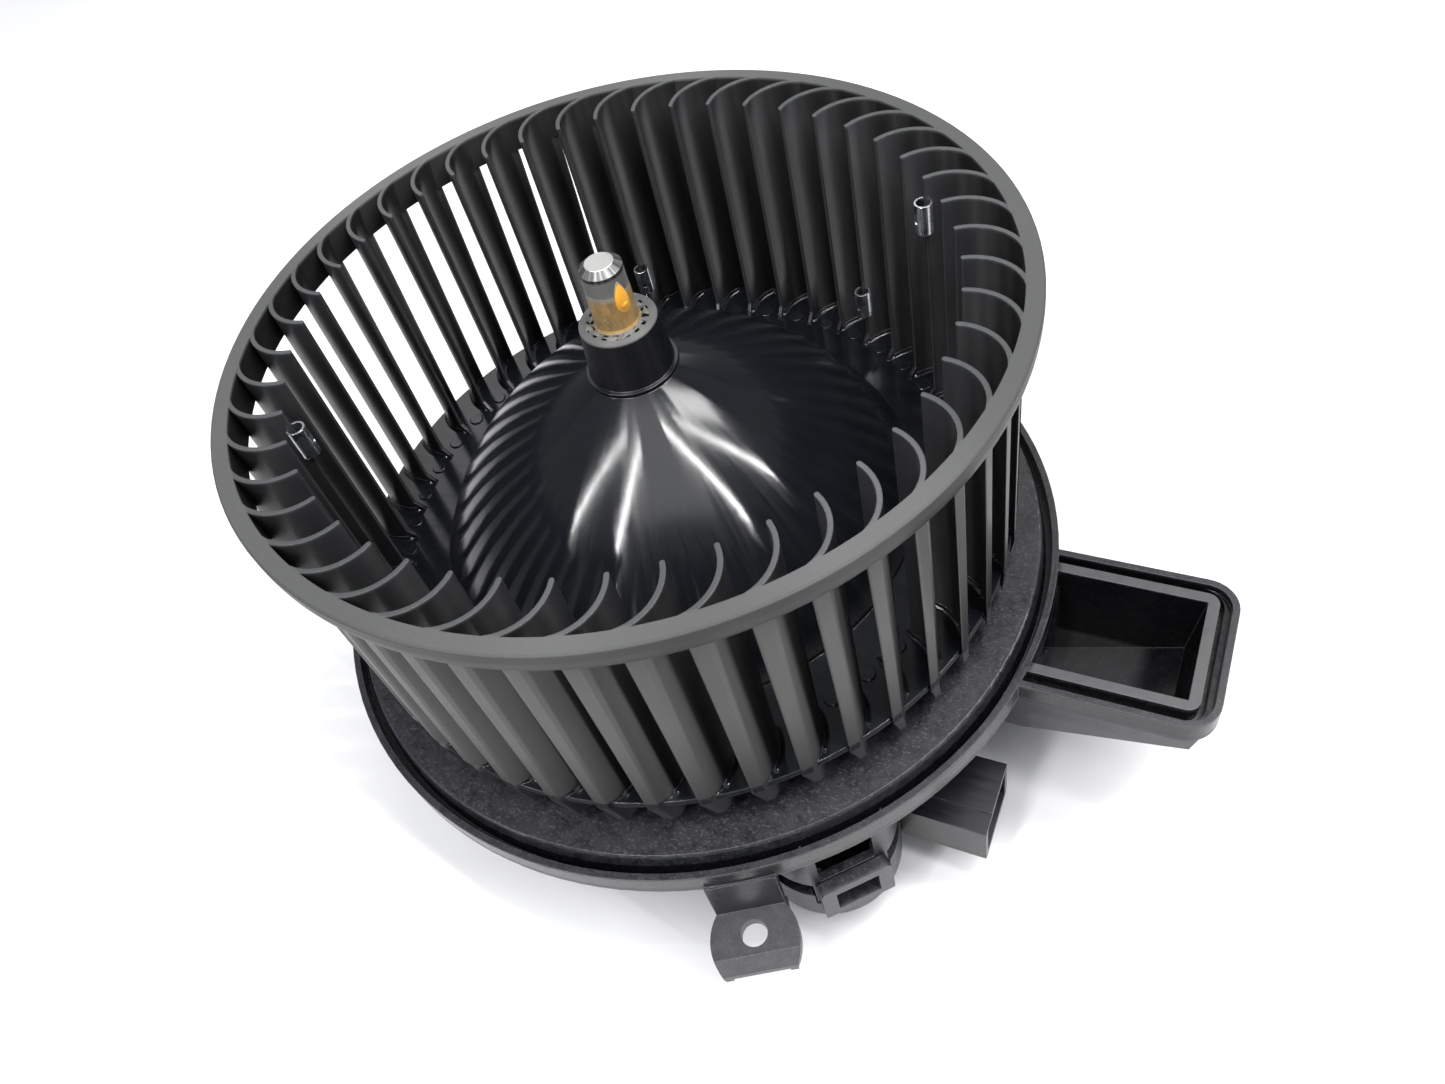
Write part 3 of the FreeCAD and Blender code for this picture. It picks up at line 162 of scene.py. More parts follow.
# ---------------------------------------------------------------- where finishes, painted shade and painted highlights change, in millimetres
# Each pair runs from the limit where the finish is not yet there to the one where it is complete.
DOME_R = (52.5, 49.5)
DOME_Z = (81.7, 81.2)
BOSS_FACE_Z = (81.2, 81.7)
BOSS_SIDE_R = (9.5, 8.8)
BOSS_SIDE_Z = (70.5, 71.2)
POLISHED_FLOOR_R = (49.5, 51.5)
POLISHED_FLOOR_Z = (31.2, 30.2)
WHEEL_TOP_Z = (85.8, 86.2)
RIM_R = (71.2, 71.8)
BLADE_TOPS_R = (71.8, 71.2)
LAND_R = (71.15, 71.45)
LAND_UNDER_Z = (80.0, 78.5)
LAND_RISE_Z = (29.0, 60.0)
OUTER_BLADE_R = (65.5, 68.5)
OUTER_BLADE_Z = (30.0, 66.0)
OUTBOARD_R = (80.6, 81.2)
DUCT_EDGE_Z = (17.10, 17.18)
EAR_Z = (1.2, -0.4)
GROOVE_OVER_Z = (12.8, 13.2)
GROOVE_UNDER_Z = (16.6, 16.0)
DUCT_HALF_WIDTH = (12.2, 11.7)
DUCT_END_R = (109.6, 109.0)
DUCT_UNDER_Z = (17.0, 16.6)
CHAMFER_OVER_Z = (92.6, 93.2)
CHAMFER_UNDER_Z = (94.72, 94.65)
PROUD_R = (4.10, 4.3)
PROUD_Z = (84.2, 85.2)
THIN_FILM_Z = (88.0, 89.7)
EDGE_AGREEMENT = (0.995, 0.86)  # how far the rounded and the flat normal agree beside an edge and on it
# Brightens the metals' edges, which are partly wear, partly painted highlight.
EDGE_WEAR_AND_HIGHLIGHT_GAIN = 1.25

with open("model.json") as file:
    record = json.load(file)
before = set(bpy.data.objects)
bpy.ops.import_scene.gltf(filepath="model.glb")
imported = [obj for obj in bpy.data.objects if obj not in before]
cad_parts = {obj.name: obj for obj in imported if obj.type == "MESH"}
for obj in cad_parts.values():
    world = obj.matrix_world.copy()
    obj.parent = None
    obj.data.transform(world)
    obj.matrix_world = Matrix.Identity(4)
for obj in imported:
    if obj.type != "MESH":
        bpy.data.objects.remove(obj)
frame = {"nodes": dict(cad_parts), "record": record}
cad_low, cad_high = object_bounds()
nodes = frame["nodes"]


# ---------------------------------------------------------------- finish builder
class Finish:
    """A procedural material round one Principled shader. Its methods take sizes in millimetres."""

    def __init__(self, name, **constants):
        self.material = bpy.data.materials.new(name)
        self.material.use_nodes = True
        self.tree = self.material.node_tree
        self.shader = self.tree.nodes["Principled BSDF"]
        for socket, value in constants.items():
            self.shader.inputs[socket.replace("_", " ")].default_value = value
        self.place = self.tree.nodes.new("ShaderNodeTexCoord").outputs["Object"]

    def put(self, socket, value):
        if isinstance(value, bpy.types.NodeSocket):
            self.tree.links.new(value, socket)
        else:
            socket.default_value = value

    def node(self, kind, inputs=None, **settings):
        made = self.tree.nodes.new("ShaderNode" + kind)
        for key, value in settings.items():
            setattr(made, key, value)
        for key, value in (inputs or {}).items():
            self.put(made.inputs[key], value)
        return made

    def math(self, operation, a, b=0.0):
        return self.node("Math", {0: a, 1: b}, operation=operation).outputs[0]

    def times(self, a, b):
        return self.math("MULTIPLY", a, b)

    def scaled(self, value, span, low):
        """Value, which runs from 0 to 1, spread over span and raised by low."""
        return self.math("ADD", self.times(value, span), low)

    def between(self, value, low, high, out_low=0.0, out_high=1.0):
        """Smooth step from out_low to out_high as value goes from low to high."""
        limits = {"Value": value, "From Min": low, "From Max": high, "To Min": out_low, "To Max": out_high}
        return self.node("MapRange", limits, interpolation_type="SMOOTHSTEP").outputs["Result"]

    def zone(self, place, limits):
        """Smooth step from 0 at the first limit to 1 at the second, along a place given in metres."""
        return self.between(place, limits[0] * MM, limits[1] * MM)

    def grain(self, size, detail=3.0, roughness=0.55, stretch=(1, 1, 1), place=None, distortion=0.0):
        """Noise whose lumps are about size mm across, drawn out along each axis by its stretch."""
        scale = [1 / (MM * size * s) for s in stretch]
        spread = self.node("VectorMath", {0: place or self.place, 1: scale}, operation="MULTIPLY")
        made = self.node("TexNoise", {"Vector": spread.outputs[0], "Scale": 1.0, "Detail": detail,
                                      "Roughness": roughness, "Distortion": distortion})
        return made.outputs["Fac"]

    def polar(self):
        """(radius, angle, height): radius and height in metres, angle in radians."""
        axes = self.node("SeparateXYZ", {0: self.place}).outputs
        square = self.math("ADD", self.times(axes[0], axes[0]), self.times(axes[1], axes[1]))
        return self.math("SQRT", square), self.math("ARCTAN2", axes[1], axes[0]), axes[2]

    def blend(self, factor, a, b):
        made = self.node("Mix", data_type="RGBA")
        self.put(made.inputs["Factor"], factor)
        self.put(made.inputs["A"], a)
        self.put(made.inputs["B"], b)
        return made.outputs["Result"]

    def mixed(self, factor, a, b):
        """The same blend for single values."""
        return self.node("Mix", {"Factor": factor, "A": a, "B": b}, data_type="FLOAT").outputs["Result"]

    def edges(self, width):
        """(mask, normal): 1 along edges of either kind, about width mm wide, and the rounded normal."""
        soft = self.node("Bevel", {"Radius": width * MM}, samples=6).outputs[0]
        flat = self.node("NewGeometry").outputs["Normal"]
        agree = self.node("VectorMath", {0: soft, 1: flat}, operation="DOT_PRODUCT").outputs["Value"]
        return self.between(agree, *EDGE_AGREEMENT), soft

    def bump(self, height, depth, normal=None):
        inputs = {"Height": height, "Distance": depth * MM, "Strength": 1.0}
        if normal is not None:
            inputs["Normal"] = normal
        return self.node("Bump", inputs).outputs[0]

    def finish(self, colour, roughness, normal):
        self.put(self.shader.inputs["Base Color"], colour)
        self.put(self.shader.inputs["Roughness"], roughness)
        self.put(self.shader.inputs["Normal"], normal)
        return self.material


def grey(level):
    return (level, level, level, 1.0)


# ---------------------------------------------------------------- plastics
def wheel_plastic():
    """Black polypropylene: polished dome and boss with turned marks, satin blades, paler top edges, a
    painted highlight on the blades' outer ends and painted shade on their outer faces; edges lightened
    partly as wear, partly as painted highlight.
    """
    f = Finish("wheel_plastic", Specular_IOR_Level=0.42, Anisotropic=0.98, Anisotropic_Rotation=0.25)
    f.put(f.shader.inputs["Tangent"], f.node("Tangent", direction_type="RADIAL", axis="Z").outputs[0])
    radius, angle, height = f.polar()
    mask, rounded = f.edges(0.3)
    inside = f.zone(radius, DOME_R)
    on_dome = f.times(inside, f.zone(height, DOME_Z))
    on_boss_top = f.times(inside, f.zone(height, BOSS_FACE_Z))
    on_boss_side = f.times(f.zone(radius, BOSS_SIDE_R), f.zone(height, BOSS_SIDE_Z))
    on_boss_side = f.times(on_boss_side, on_dome)
    on_floor = f.times(f.zone(radius, POLISHED_FLOOR_R), f.zone(height, POLISHED_FLOOR_Z))
    on_top = f.zone(height, WHEEL_TOP_Z)
    on_rim = f.times(f.zone(radius, RIM_R), on_top)
    on_blade_tops = f.times(f.zone(radius, BLADE_TOPS_R), on_top)
    # Where the painted highlight on the blades' outer ends goes, fading out towards the bottom.
    land_highlight = f.times(f.zone(radius, LAND_R), f.zone(height, LAND_UNDER_Z))
    land_highlight = f.times(land_highlight, f.zone(height, LAND_RISE_Z))
    outer = f.zone(radius, OUTER_BLADE_R)
    polished = f.math("MAXIMUM", on_dome, on_floor)

    spoke_scale = 0.03
    spokes = f.node("CombineXYZ", {0: f.times(angle, spoke_scale), 1: f.times(radius, spoke_scale),
                                   2: f.times(height, spoke_scale)}).outputs[0]
    radial = f.grain(0.6, detail=4.0, place=spokes)
    cloud = f.grain(9.0, detail=4.0)
    fine = f.grain(0.28, detail=2.0)

    rough = f.mixed(polished, f.scaled(cloud, 0.12, 0.26), f.scaled(radial, 0.13, 0.055))
    rough = f.mixed(f.math("MAXIMUM", on_rim, on_boss_top), rough, f.scaled(fine, 0.15, 0.52))
    rough = f.mixed(on_boss_side, rough, f.scaled(cloud, 0.08, 0.20))

    satin = f.blend(cloud, (0.0140, 0.0144, 0.0155, 1), (0.0235, 0.0240, 0.0258, 1))
    # Painted shade: the outer faces of the blades are painted darker, darkest towards the bottom.
    outer_blade_shade = f.blend(f.zone(height, OUTER_BLADE_Z), (0.0035, 0.0036, 0.0040, 1),
                          (0.0100, 0.0102, 0.0105, 1))
    satin = f.blend(outer, satin, outer_blade_shade)
    gloss = f.blend(cloud, (0.0025, 0.0030, 0.0042, 1), (0.0060, 0.0066, 0.0085, 1))
    boss_top = f.blend(fine, (0.060, 0.061, 0.060, 1), (0.100, 0.101, 0.100, 1))
    rim = f.blend(fine, (0.046, 0.0465, 0.047, 1), (0.068, 0.0685, 0.069, 1))
    colour = f.blend(polished, satin, gloss)
    # Painted highlight: the blades' outer ends are painted paler as a painted reflection of the bright
    # floor.
    colour = f.blend(land_highlight, colour, (0.050, 0.050, 0.047, 1))
    # Edges lightened: partly wear, partly painted highlight.
    colour = f.blend(f.times(mask, 0.30), colour, (0.06, 0.06, 0.064, 1))
    colour = f.blend(on_blade_tops, colour, (0.040, 0.041, 0.043, 1))
    colour = f.blend(on_boss_top, colour, boss_top)
    colour = f.blend(on_rim, colour, rim)
    height_map = f.times(fine, f.between(polished, 0.0, 1.0, 1.0, 0.12))
    return f.finish(colour, rough, f.bump(height_map, 0.006, rounded))


def housing_plastic():
    """Glass-filled black plastic: mottled skin, pale flecks, paler ears and duct edge, painted shade in the
    groove and the duct, and edges lightened partly as wear, partly as painted highlight.
    """
    f = Finish("housing_plastic", Specular_IOR_Level=0.42)
    radius, angle, height = f.polar()
    mask, rounded = f.edges(0.25)
    mottle = f.grain(2.2, detail=6.0, roughness=0.8)
    blotch = f.grain(11.0, detail=5.0, roughness=0.65)
    skin = f.grain(0.32, detail=2.0)
    fleck = f.between(f.grain(0.34, detail=1.0, stretch=(1.8, 1, 1)), 0.56, 0.68)
    outboard = f.zone(radius, OUTBOARD_R)
    duct_edge = f.times(outboard, f.zone(height, DUCT_EDGE_Z))
    ears = f.times(outboard, f.zone(height, EAR_Z))
    paler_outboard = f.math("MAXIMUM", duct_edge, f.times(ears, 0.55))
    across = f.math("ABSOLUTE", f.times(radius, f.math("SINE", angle)))
    groove = f.times(f.zone(height, GROOVE_OVER_Z), f.zone(height, GROOVE_UNDER_Z))
    duct_inside = f.times(outboard, f.zone(across, DUCT_HALF_WIDTH))
    duct_inside = f.times(duct_inside, f.zone(radius, DUCT_END_R))
    shaded = f.math("MAXIMUM", groove, f.times(duct_inside, f.zone(height, DUCT_UNDER_Z)))

    colour = f.blend(f.between(mottle, 0.36, 0.64), (0.003, 0.0034, 0.0045, 1), (0.015, 0.0155, 0.018, 1))
    colour = f.blend(f.times(f.between(blotch, 0.4, 0.65), 0.4), colour, (0.022, 0.022, 0.026, 1))
    colour = f.blend(f.times(fleck, 0.30), colour, (0.09, 0.09, 0.105, 1))
    # Painted shade: the groove and the inside of the duct are painted near black.
    colour = f.blend(f.times(shaded, 0.9), colour, (0.002, 0.002, 0.0025, 1))
    # The duct edge and the ears are painted paler.
    colour = f.blend(paler_outboard, colour, f.blend(mottle, (0.030, 0.030, 0.032, 1), (0.062, 0.062, 0.064, 1)))
    # Edges lightened: partly wear, partly painted highlight.
    colour = f.blend(f.times(mask, 0.38), colour, (0.14, 0.14, 0.145, 1))
    rough = f.math("ADD", f.times(mottle, 0.34), f.between(shaded, 0.0, 1.0, 0.22, 0.08))
    normal = f.bump(f.times(skin, f.between(shaded, 0.0, 1.0, 1.0, 0.3)), 0.012, rounded)
    normal = f.bump(f.times(mottle, f.between(shaded, 0.0, 1.0, 1.0, 0.2)), 0.03, normal)
    return f.finish(colour, rough, normal)


def connector_plastic():
    """Black nylon with a slight moulded sheen."""
    f = Finish("connector_plastic", Specular_IOR_Level=0.45)
    mask, rounded = f.edges(0.2)
    cloud = f.grain(4.0, detail=4.0)
    skin = f.grain(0.25, detail=2.0)
    flow = f.grain(1.4, detail=3.0, stretch=(9, 1, 1))
    dark = f.blend(cloud, (0.0022, 0.0026, 0.0036, 1), (0.0060, 0.0064, 0.0078, 1))
    # Edges lightened: partly wear, partly painted highlight.
    colour = f.blend(f.times(mask, 0.35), dark, (0.07, 0.07, 0.075, 1))
    rough = f.scaled(flow, 0.24, 0.22)
    return f.finish(colour, rough, f.bump(skin, 0.008, rounded))


def phenolic():
    f = Finish("phenolic", Specular_IOR_Level=0.5)
    cloud = f.grain(2.5, detail=4.0)
    fibre = f.grain(0.3, detail=2.0, stretch=(5, 1, 1))
    colour = f.blend(cloud, (0.10, 0.045, 0.018, 1), (0.22, 0.12, 0.06, 1))
    rough = f.scaled(fibre, 0.25, 0.30)
    return f.finish(colour, rough, f.bump(fibre, 0.01))


def damper_rubber():
    f = Finish("damper_rubber", Specular_IOR_Level=0.3)
    dust = f.grain(2.0, detail=4.0)
    skin = f.grain(0.3, detail=2.0)
    colour = f.blend(dust, (0.018, 0.018, 0.019, 1), (0.045, 0.044, 0.043, 1))
    return f.finish(colour, f.scaled(dust, 0.2, 0.62), f.bump(skin, 0.02))


# ---------------------------------------------------------------- metals
def metal(name, dark, light, rough_low, rough_span, stretch, grain_mm, depth):
    """Metal with a drawn or ground grain along its long stretch axis."""
    f = Finish(name, Metallic=1.0)
    mask, rounded = f.edges(0.15)
    lines = f.grain(grain_mm, detail=3.0, stretch=stretch)
    cloud = f.grain(3.0, detail=4.0)
    # Edges lightened: partly wear, partly painted highlight.
    worn_and_lit = tuple(min(1.0, EDGE_WEAR_AND_HIGHLIGHT_GAIN * channel) for channel in light)
    base = f.blend(cloud, dark + (1,), light + (1,))
    colour = f.blend(f.times(mask, 0.5), base, worn_and_lit + (1,))
    return f.finish(colour, f.scaled(lines, rough_span, rough_low), f.bump(lines, depth, rounded))


def shaft_steel():
    """Ground shaft steel, with the chamfer at its end painted darker as shade and streaked round the turn.
    """
    f = Finish("shaft_steel", Metallic=1.0)
    _, angle, height = f.polar()
    mask, rounded = f.edges(0.15)
    ground = f.grain(0.3, detail=3.0, stretch=(4, 4, 1))
    cloud = f.grain(3.0, detail=4.0)
    spoke_scale = 0.004
    spokes = f.node("CombineXYZ", {0: f.times(angle, spoke_scale)}).outputs[0]
    streaks = f.between(f.grain(1.1, detail=2.0, place=spokes), 0.40, 0.62)
    chamfer = f.times(f.zone(height, CHAMFER_OVER_Z), f.zone(height, CHAMFER_UNDER_Z))
    base = f.blend(cloud, (0.44, 0.44, 0.43, 1), (0.60, 0.60, 0.58, 1))
    # Painted shade: the chamfer is painted darker, with turned streaks.
    base = f.blend(chamfer, base, f.blend(streaks, (0.07, 0.07, 0.07, 1), (0.24, 0.24, 0.235, 1)))
    # Edges lightened: partly wear, partly painted highlight.
    colour = f.blend(f.times(mask, 0.3), base, (0.70, 0.70, 0.69, 1))
    return f.finish(colour, f.scaled(ground, 0.22, 0.40), f.bump(ground, 0.004, rounded))


def zinc_steel():
    """Bright zinc plate with faint spangle."""
    f = Finish("zinc_steel", Metallic=1.0)
    mask, rounded = f.edges(0.12)
    spangle_size = 2.2
    spangle = f.node("TexVoronoi", {"Vector": f.place, "Scale": 1 / (spangle_size * MM)}).outputs["Color"]
    level = f.node("SeparateColor", {0: spangle}).outputs[0]
    lines = f.grain(0.25, detail=3.0, stretch=(1, 1, 6))
    base = f.blend(level, (0.46, 0.48, 0.50, 1), (0.66, 0.68, 0.70, 1))
    # Edges lightened: partly wear, partly painted highlight.
    colour = f.blend(f.times(mask, 0.6), base, (0.85, 0.86, 0.88, 1))
    rough = f.math("ADD", f.times(lines, 0.18), f.times(level, 0.12))
    rough = f.math("ADD", rough, 0.16)
    return f.finish(colour, rough, f.bump(lines, 0.006, rounded))


def spring_steel():
    """Phosphated spring strip: blue-grey body with edges painted bright as a highlight."""
    f = Finish("spring_steel", Metallic=0.5)
    mask, rounded = f.edges(0.12)
    cloud = f.grain(1.2, detail=4.0)
    lines = f.grain(0.2, detail=3.0, stretch=(5, 1, 1))
    body = f.blend(cloud, (0.30, 0.38, 0.42, 1), (0.46, 0.54, 0.58, 1))
    # Painted highlight: the edges are painted bright.
    colour = f.blend(f.times(mask, 0.9), body, (0.80, 0.84, 0.86, 1))
    return f.finish(colour, f.scaled(lines, 0.2, 0.20), f.bump(lines, 0.003, rounded))


def enamelled_copper():
    f = Finish("enamelled_copper", Metallic=0.9, Coat_Weight=0.6, Coat_Roughness=0.12)
    wires = f.grain(0.5, detail=1.0, stretch=(1, 1, 14))
    cloud = f.grain(4.0, detail=3.0)
    colour = f.blend(f.between(wires, 0.35, 0.6), (0.24, 0.075, 0.025, 1), (0.66, 0.27, 0.11, 1))
    rough = f.scaled(cloud, 0.2, 0.25)
    return f.finish(colour, rough, f.bump(wires, 0.12))


def sintered_bronze():
    f = Finish("sintered_bronze", Metallic=1.0)
    pores = f.grain(0.22, detail=2.0)
    cloud = f.grain(2.4, detail=3.0)
    colour = f.blend(cloud, (0.30, 0.20, 0.09, 1), (0.55, 0.40, 0.21, 1))
    return f.finish(colour, f.scaled(pores, 0.3, 0.34), f.bump(pores, 0.02))


def dark_ceramic(name, level, grain_mm):
    """Pressed ferrite or carbon: matt, fine-grained, slightly polished in patches."""
    f = Finish(name, Specular_IOR_Level=0.5)
    mask, rounded = f.edges(0.2)
    grain = f.grain(grain_mm, detail=3.0)
    cloud = f.grain(5.0, detail=3.0)
    dark = f.blend(cloud, grey(level), grey(level * 1.7))
    # Edges lightened: partly wear, partly painted highlight.
    colour = f.blend(f.times(mask, 0.4), dark, grey(level * 3))
    return f.finish(colour, f.scaled(cloud, 0.2, 0.45), f.bump(grain, 0.02, rounded))


def oiled_felt():
    f = Finish("oiled_felt", Sheen_Weight=0.4)
    fibre = f.grain(0.35, detail=4.0, stretch=(4, 1, 1), distortion=1.5)
    colour = f.blend(fibre, (0.13, 0.09, 0.05, 1), (0.30, 0.23, 0.14, 1))
    return f.finish(colour, f.scaled(fibre, 0.3, 0.6), f.bump(fibre, 0.15))


def capacitor_blue():
    f = Finish("capacitor_blue", Coat_Weight=0.5, Coat_Roughness=0.08)
    cloud = f.grain(2.0, detail=3.0)
    colour = f.blend(cloud, (0.015, 0.06, 0.22, 1), (0.03, 0.12, 0.36, 1))
    return f.finish(colour, f.scaled(cloud, 0.15, 0.2), f.bump(cloud, 0.05))


def amber_compound():
    """Cured adhesive: a dull brown film where it is thin over the steel, orange where it stands proud."""
    f = Finish("amber_compound", Coat_Weight=0.7, Coat_Roughness=0.08, Subsurface_Weight=0.25,
               Subsurface_Scale=0.001)
    f.shader.inputs["Subsurface Radius"].default_value = (1.0, 0.45, 0.1)
    radius, _, height = f.polar()
    proud = f.times(f.zone(radius, PROUD_R), f.zone(height, PROUD_Z))
    flow = f.grain(1.6, detail=3.0, stretch=(1, 1, 2.2))
    flecks = f.grain(0.3, detail=2.0)
    film = f.blend(f.between(flow, 0.25, 0.75), (0.19, 0.125, 0.05, 1), (0.33, 0.20, 0.07, 1))
    film = f.blend(f.between(flecks, 0.62, 0.72), film, (0.42, 0.38, 0.30, 1))
    film = f.blend(f.zone(height, THIN_FILM_Z), film, (0.22, 0.21, 0.19, 1))
    colour = f.blend(proud, film, (0.86, 0.40, 0.045, 1))
    return f.finish(colour, f.scaled(flecks, 0.25, 0.20), f.bump(flow, 0.08))


def dried_adhesive():
    """Pale chalky residue squeezed out round the shaft."""
    f = Finish("dried_adhesive", Specular_IOR_Level=0.4)
    cloud = f.grain(0.8, detail=4.0)
    grit = f.grain(0.12, detail=2.0)
    colour = f.blend(cloud, (0.07, 0.067, 0.06, 1), (0.17, 0.16, 0.145, 1))
    return f.finish(colour, f.scaled(cloud, 0.3, 0.45), f.bump(grit, 0.04))


def pale_floor():
    f = Finish("pale_floor", Specular_IOR_Level=0.2)
    cloud = f.grain(60.0, detail=3.0)
    colour = f.blend(cloud, (0.60, 0.60, 0.61, 1), (0.64, 0.64, 0.65, 1))
    return f.finish(colour, f.scaled(cloud, 0.1, 0.6), f.bump(cloud, 0.02))


def all_finishes():
    return {
        "wheel_plastic": wheel_plastic(),
        "housing_plastic": housing_plastic(),
        "connector_plastic": connector_plastic(),
        "zinc_steel": zinc_steel(),
        "shaft_steel": shaft_steel(),
        "spring_steel": spring_steel(),
        "lamination_steel": metal("lamination_steel", dark=(0.22, 0.23, 0.25), light=(0.44, 0.45, 0.48),
                                  rough_low=0.3, rough_span=0.3, stretch=(12, 12, 1), grain_mm=0.5,
                                  depth=0.05),
        "enamelled_copper": enamelled_copper(),
        "copper": metal("copper", dark=(0.50, 0.22, 0.11), light=(0.80, 0.44, 0.28), rough_low=0.2,
                        rough_span=0.25, stretch=(6, 6, 1), grain_mm=0.15, depth=0.004),
        "tinned_brass": metal("tinned_brass", dark=(0.55, 0.48, 0.32), light=(0.78, 0.71, 0.52),
                              rough_low=0.22, rough_span=0.2, stretch=(5, 1, 1), grain_mm=0.2, depth=0.004),
        "sintered_bronze": sintered_bronze(),
        "phenolic": phenolic(),
        "ferrite": dark_ceramic("ferrite", level=0.045, grain_mm=0.3),
        "carbon": dark_ceramic("carbon", level=0.03, grain_mm=0.2),
        "damper_rubber": damper_rubber(),
        "oiled_felt": oiled_felt(),
        "capacitor_blue": capacitor_blue(),
        "amber_compound": amber_compound(),
        "dried_adhesive": dried_adhesive(),
    }


def dress_cad_nodes(finishes):
    for part in frame["record"]["subparts"]:
        mesh = nodes[part["node"]].data
        mesh.materials.clear()
        mesh.materials.append(finishes[part["material_slot"]])


# ---------------------------------------------------------------- detail pieces
def piece(name, bm, body, finish):
    """One smooth mesh object from a bmesh in millimetres. It rides body, unless body is None."""
    bmesh.ops.scale(bm, vec=(MM, MM, MM), verts=bm.verts)
    bmesh.ops.recalc_face_normals(bm, faces=bm.faces)
    mesh = bpy.data.meshes.new(name)
    bm.to_mesh(mesh)
    bm.free()
    mesh.shade_smooth()
    mesh.materials.append(finish)
    made = bpy.data.objects.new(name, mesh)
    bpy.context.scene.collection.objects.link(made)
    if body:
        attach(made, body)
    return made


def turned(x, y, angle):
    """The point (x, y) turned about the axis by an angle in degrees."""
    turn = math.radians(angle)
    return x * math.cos(turn) - y * math.sin(turn), x * math.sin(turn) + y * math.cos(turn)


def blade_angle(index):
    return FIRST_BLADE_ANGLE + 360.0 * index / BLADE_COUNT


def heading(turn):
    """Unit vector at a turn in degrees."""
    return Vector((math.cos(math.radians(turn)), math.sin(math.radians(turn))))


def blade_foot_path():
    """(x, y, normal x, normal y) round one blade's section on the wheel's floor, from edge to edge."""
    half = BLADE_THICKNESS / 2
    centre_x, centre_y = BLADE_TIP_R + half, -BLADE_BEND_R
    convex, concave = [], []
    for turn in BLADE_SIDE_TURNS:
        away = heading(turn)
        for side, sign in ((convex, 1), (concave, -1)):
            x = centre_x + (BLADE_BEND_R + sign * half) * away.x
            y = centre_y + (BLADE_BEND_R + sign * half) * away.y
            if math.hypot(x, y) < WHEEL_FLOOR_R - ROOT_FILLET:
                side.append((x, y, sign * away.x, sign * away.y))
    nose = []
    for turn in BLADE_NOSE_TURNS:
        away = heading(turn)
        nose.append((centre_x + half * away.x, half * away.y, away.x, away.y))
    return convex[::-1] + nose + concave


def root_fillet_profile():
    """(out, up) points of a concave fillet, sunk a little into the blade and the floor."""
    profile = [(-FOOT_SUNK, -FOOT_SUNK), (ROOT_FILLET, -FOOT_SUNK)]
    for step in range(FILLET_STEPS + 1):
        turn = math.radians(90.0 * step / FILLET_STEPS)
        profile.append((ROOT_FILLET * (1 - math.sin(turn)), ROOT_FILLET * (1 - math.cos(turn))))
    profile.append((-FOOT_SUNK, ROOT_FILLET))
    return profile


def join_rings(bm, rings):
    """Faces between rings of equal length, each ring closed on itself, with a cap at either end."""
    for near, far in zip(rings, rings[1:]):
        for corner in range(len(near)):
            following = (corner + 1) % len(near)
            bm.faces.new((near[corner], near[following], far[following], far[corner]))
    bm.faces.new(rings[0][::-1])
    bm.faces.new(rings[-1])


def blade_root_fillets(finish):
    """Rounded feet of the blades on the wheel's floor."""
    bm = bmesh.new()
    path = blade_foot_path()
    profile = root_fillet_profile()
    for index in range(BLADE_COUNT):
        angle = blade_angle(index)
        rings = []
        for x, y, away_x, away_y in path:
            ring = []
            for out, up in profile:
                place = turned(x + out * away_x, y + out * away_y, angle)
                ring.append(bm.verts.new(place + (WHEEL_FLOOR_Z + up,)))
            rings.append(ring)
        join_rings(bm, rings)
    piece("blade_root_fillets", bm, "rotor", finish)


def ejector_pads(finish):
    """Shallow ejector-pin marks on the wheel's floor, one in the mouth of each gap between blades."""
    bm = bmesh.new()
    profile = [(PAD_R + FOOT_SUNK, -FOOT_SUNK), (PAD_R, PAD_HEIGHT - PAD_ROUND),
               (PAD_R - PAD_ROUND, PAD_HEIGHT), (PAD_R * PAD_INNER_SHARE, PAD_HEIGHT)]
    for index in range(BLADE_COUNT):
        x, y = turned(PAD_RING_R, 0.0, blade_angle(index) - 180.0 / BLADE_COUNT)
        rings = []
        for radius, up in profile:
            ring = []
            for side in range(PAD_SIDES):
                turn = 2 * math.pi * side / PAD_SIDES
                place = (x + radius * math.cos(turn), y + radius * math.sin(turn), WHEEL_FLOOR_Z + up)
                ring.append(bm.verts.new(place))
            rings.append(ring)
        join_rings(bm, rings)
    made = piece("ejector_pads", bm, "rotor", finish)
    made.data.set_sharp_from_angle(angle=math.radians(PAD_SHARP_ANGLE))


def adhesive_patches(finish):
    """Flat irregular crusts of squeezed-out adhesive on the boss, round the shaft."""
    draw = random.Random(PATCH_SEED)
    bm = bmesh.new()
    for index in range(PATCH_COUNT):
        angle = 360.0 * index / PATCH_COUNT + draw.uniform(-PATCH_SWAY, PATCH_SWAY)
        radius = draw.uniform(SHAFT_R + PATCH_GAP[0], SHAFT_R + PATCH_GAP[1])
        x, y = turned(radius, 0.0, angle)
        long, wide = draw.uniform(*PATCH_LENGTH), draw.uniform(*PATCH_WIDTH)
        made = bmesh.ops.create_icosphere(bm, subdivisions=3, radius=1.0)["verts"]
        waves = []
        for folds in range(2, 2 + PATCH_WAVES):
            waves.append((folds, draw.uniform(*WAVE_START), draw.uniform(*PATCH_WAVE_SIZE)))
        for vertex in made:
            turn = math.atan2(vertex.co.y, vertex.co.x)
            swell = 1 + sum(size * math.sin(folds * turn + start) for folds, start, size in waves)
            side_x, side_y = turned(vertex.co.x * wide * swell, vertex.co.y * long * swell, angle)
            vertex.co = (x + side_x, y + side_y, BOSS_TOP_Z + PATCH_HEIGHT * vertex.co.z)
    piece("adhesive_patches", bm, "rotor", finish)


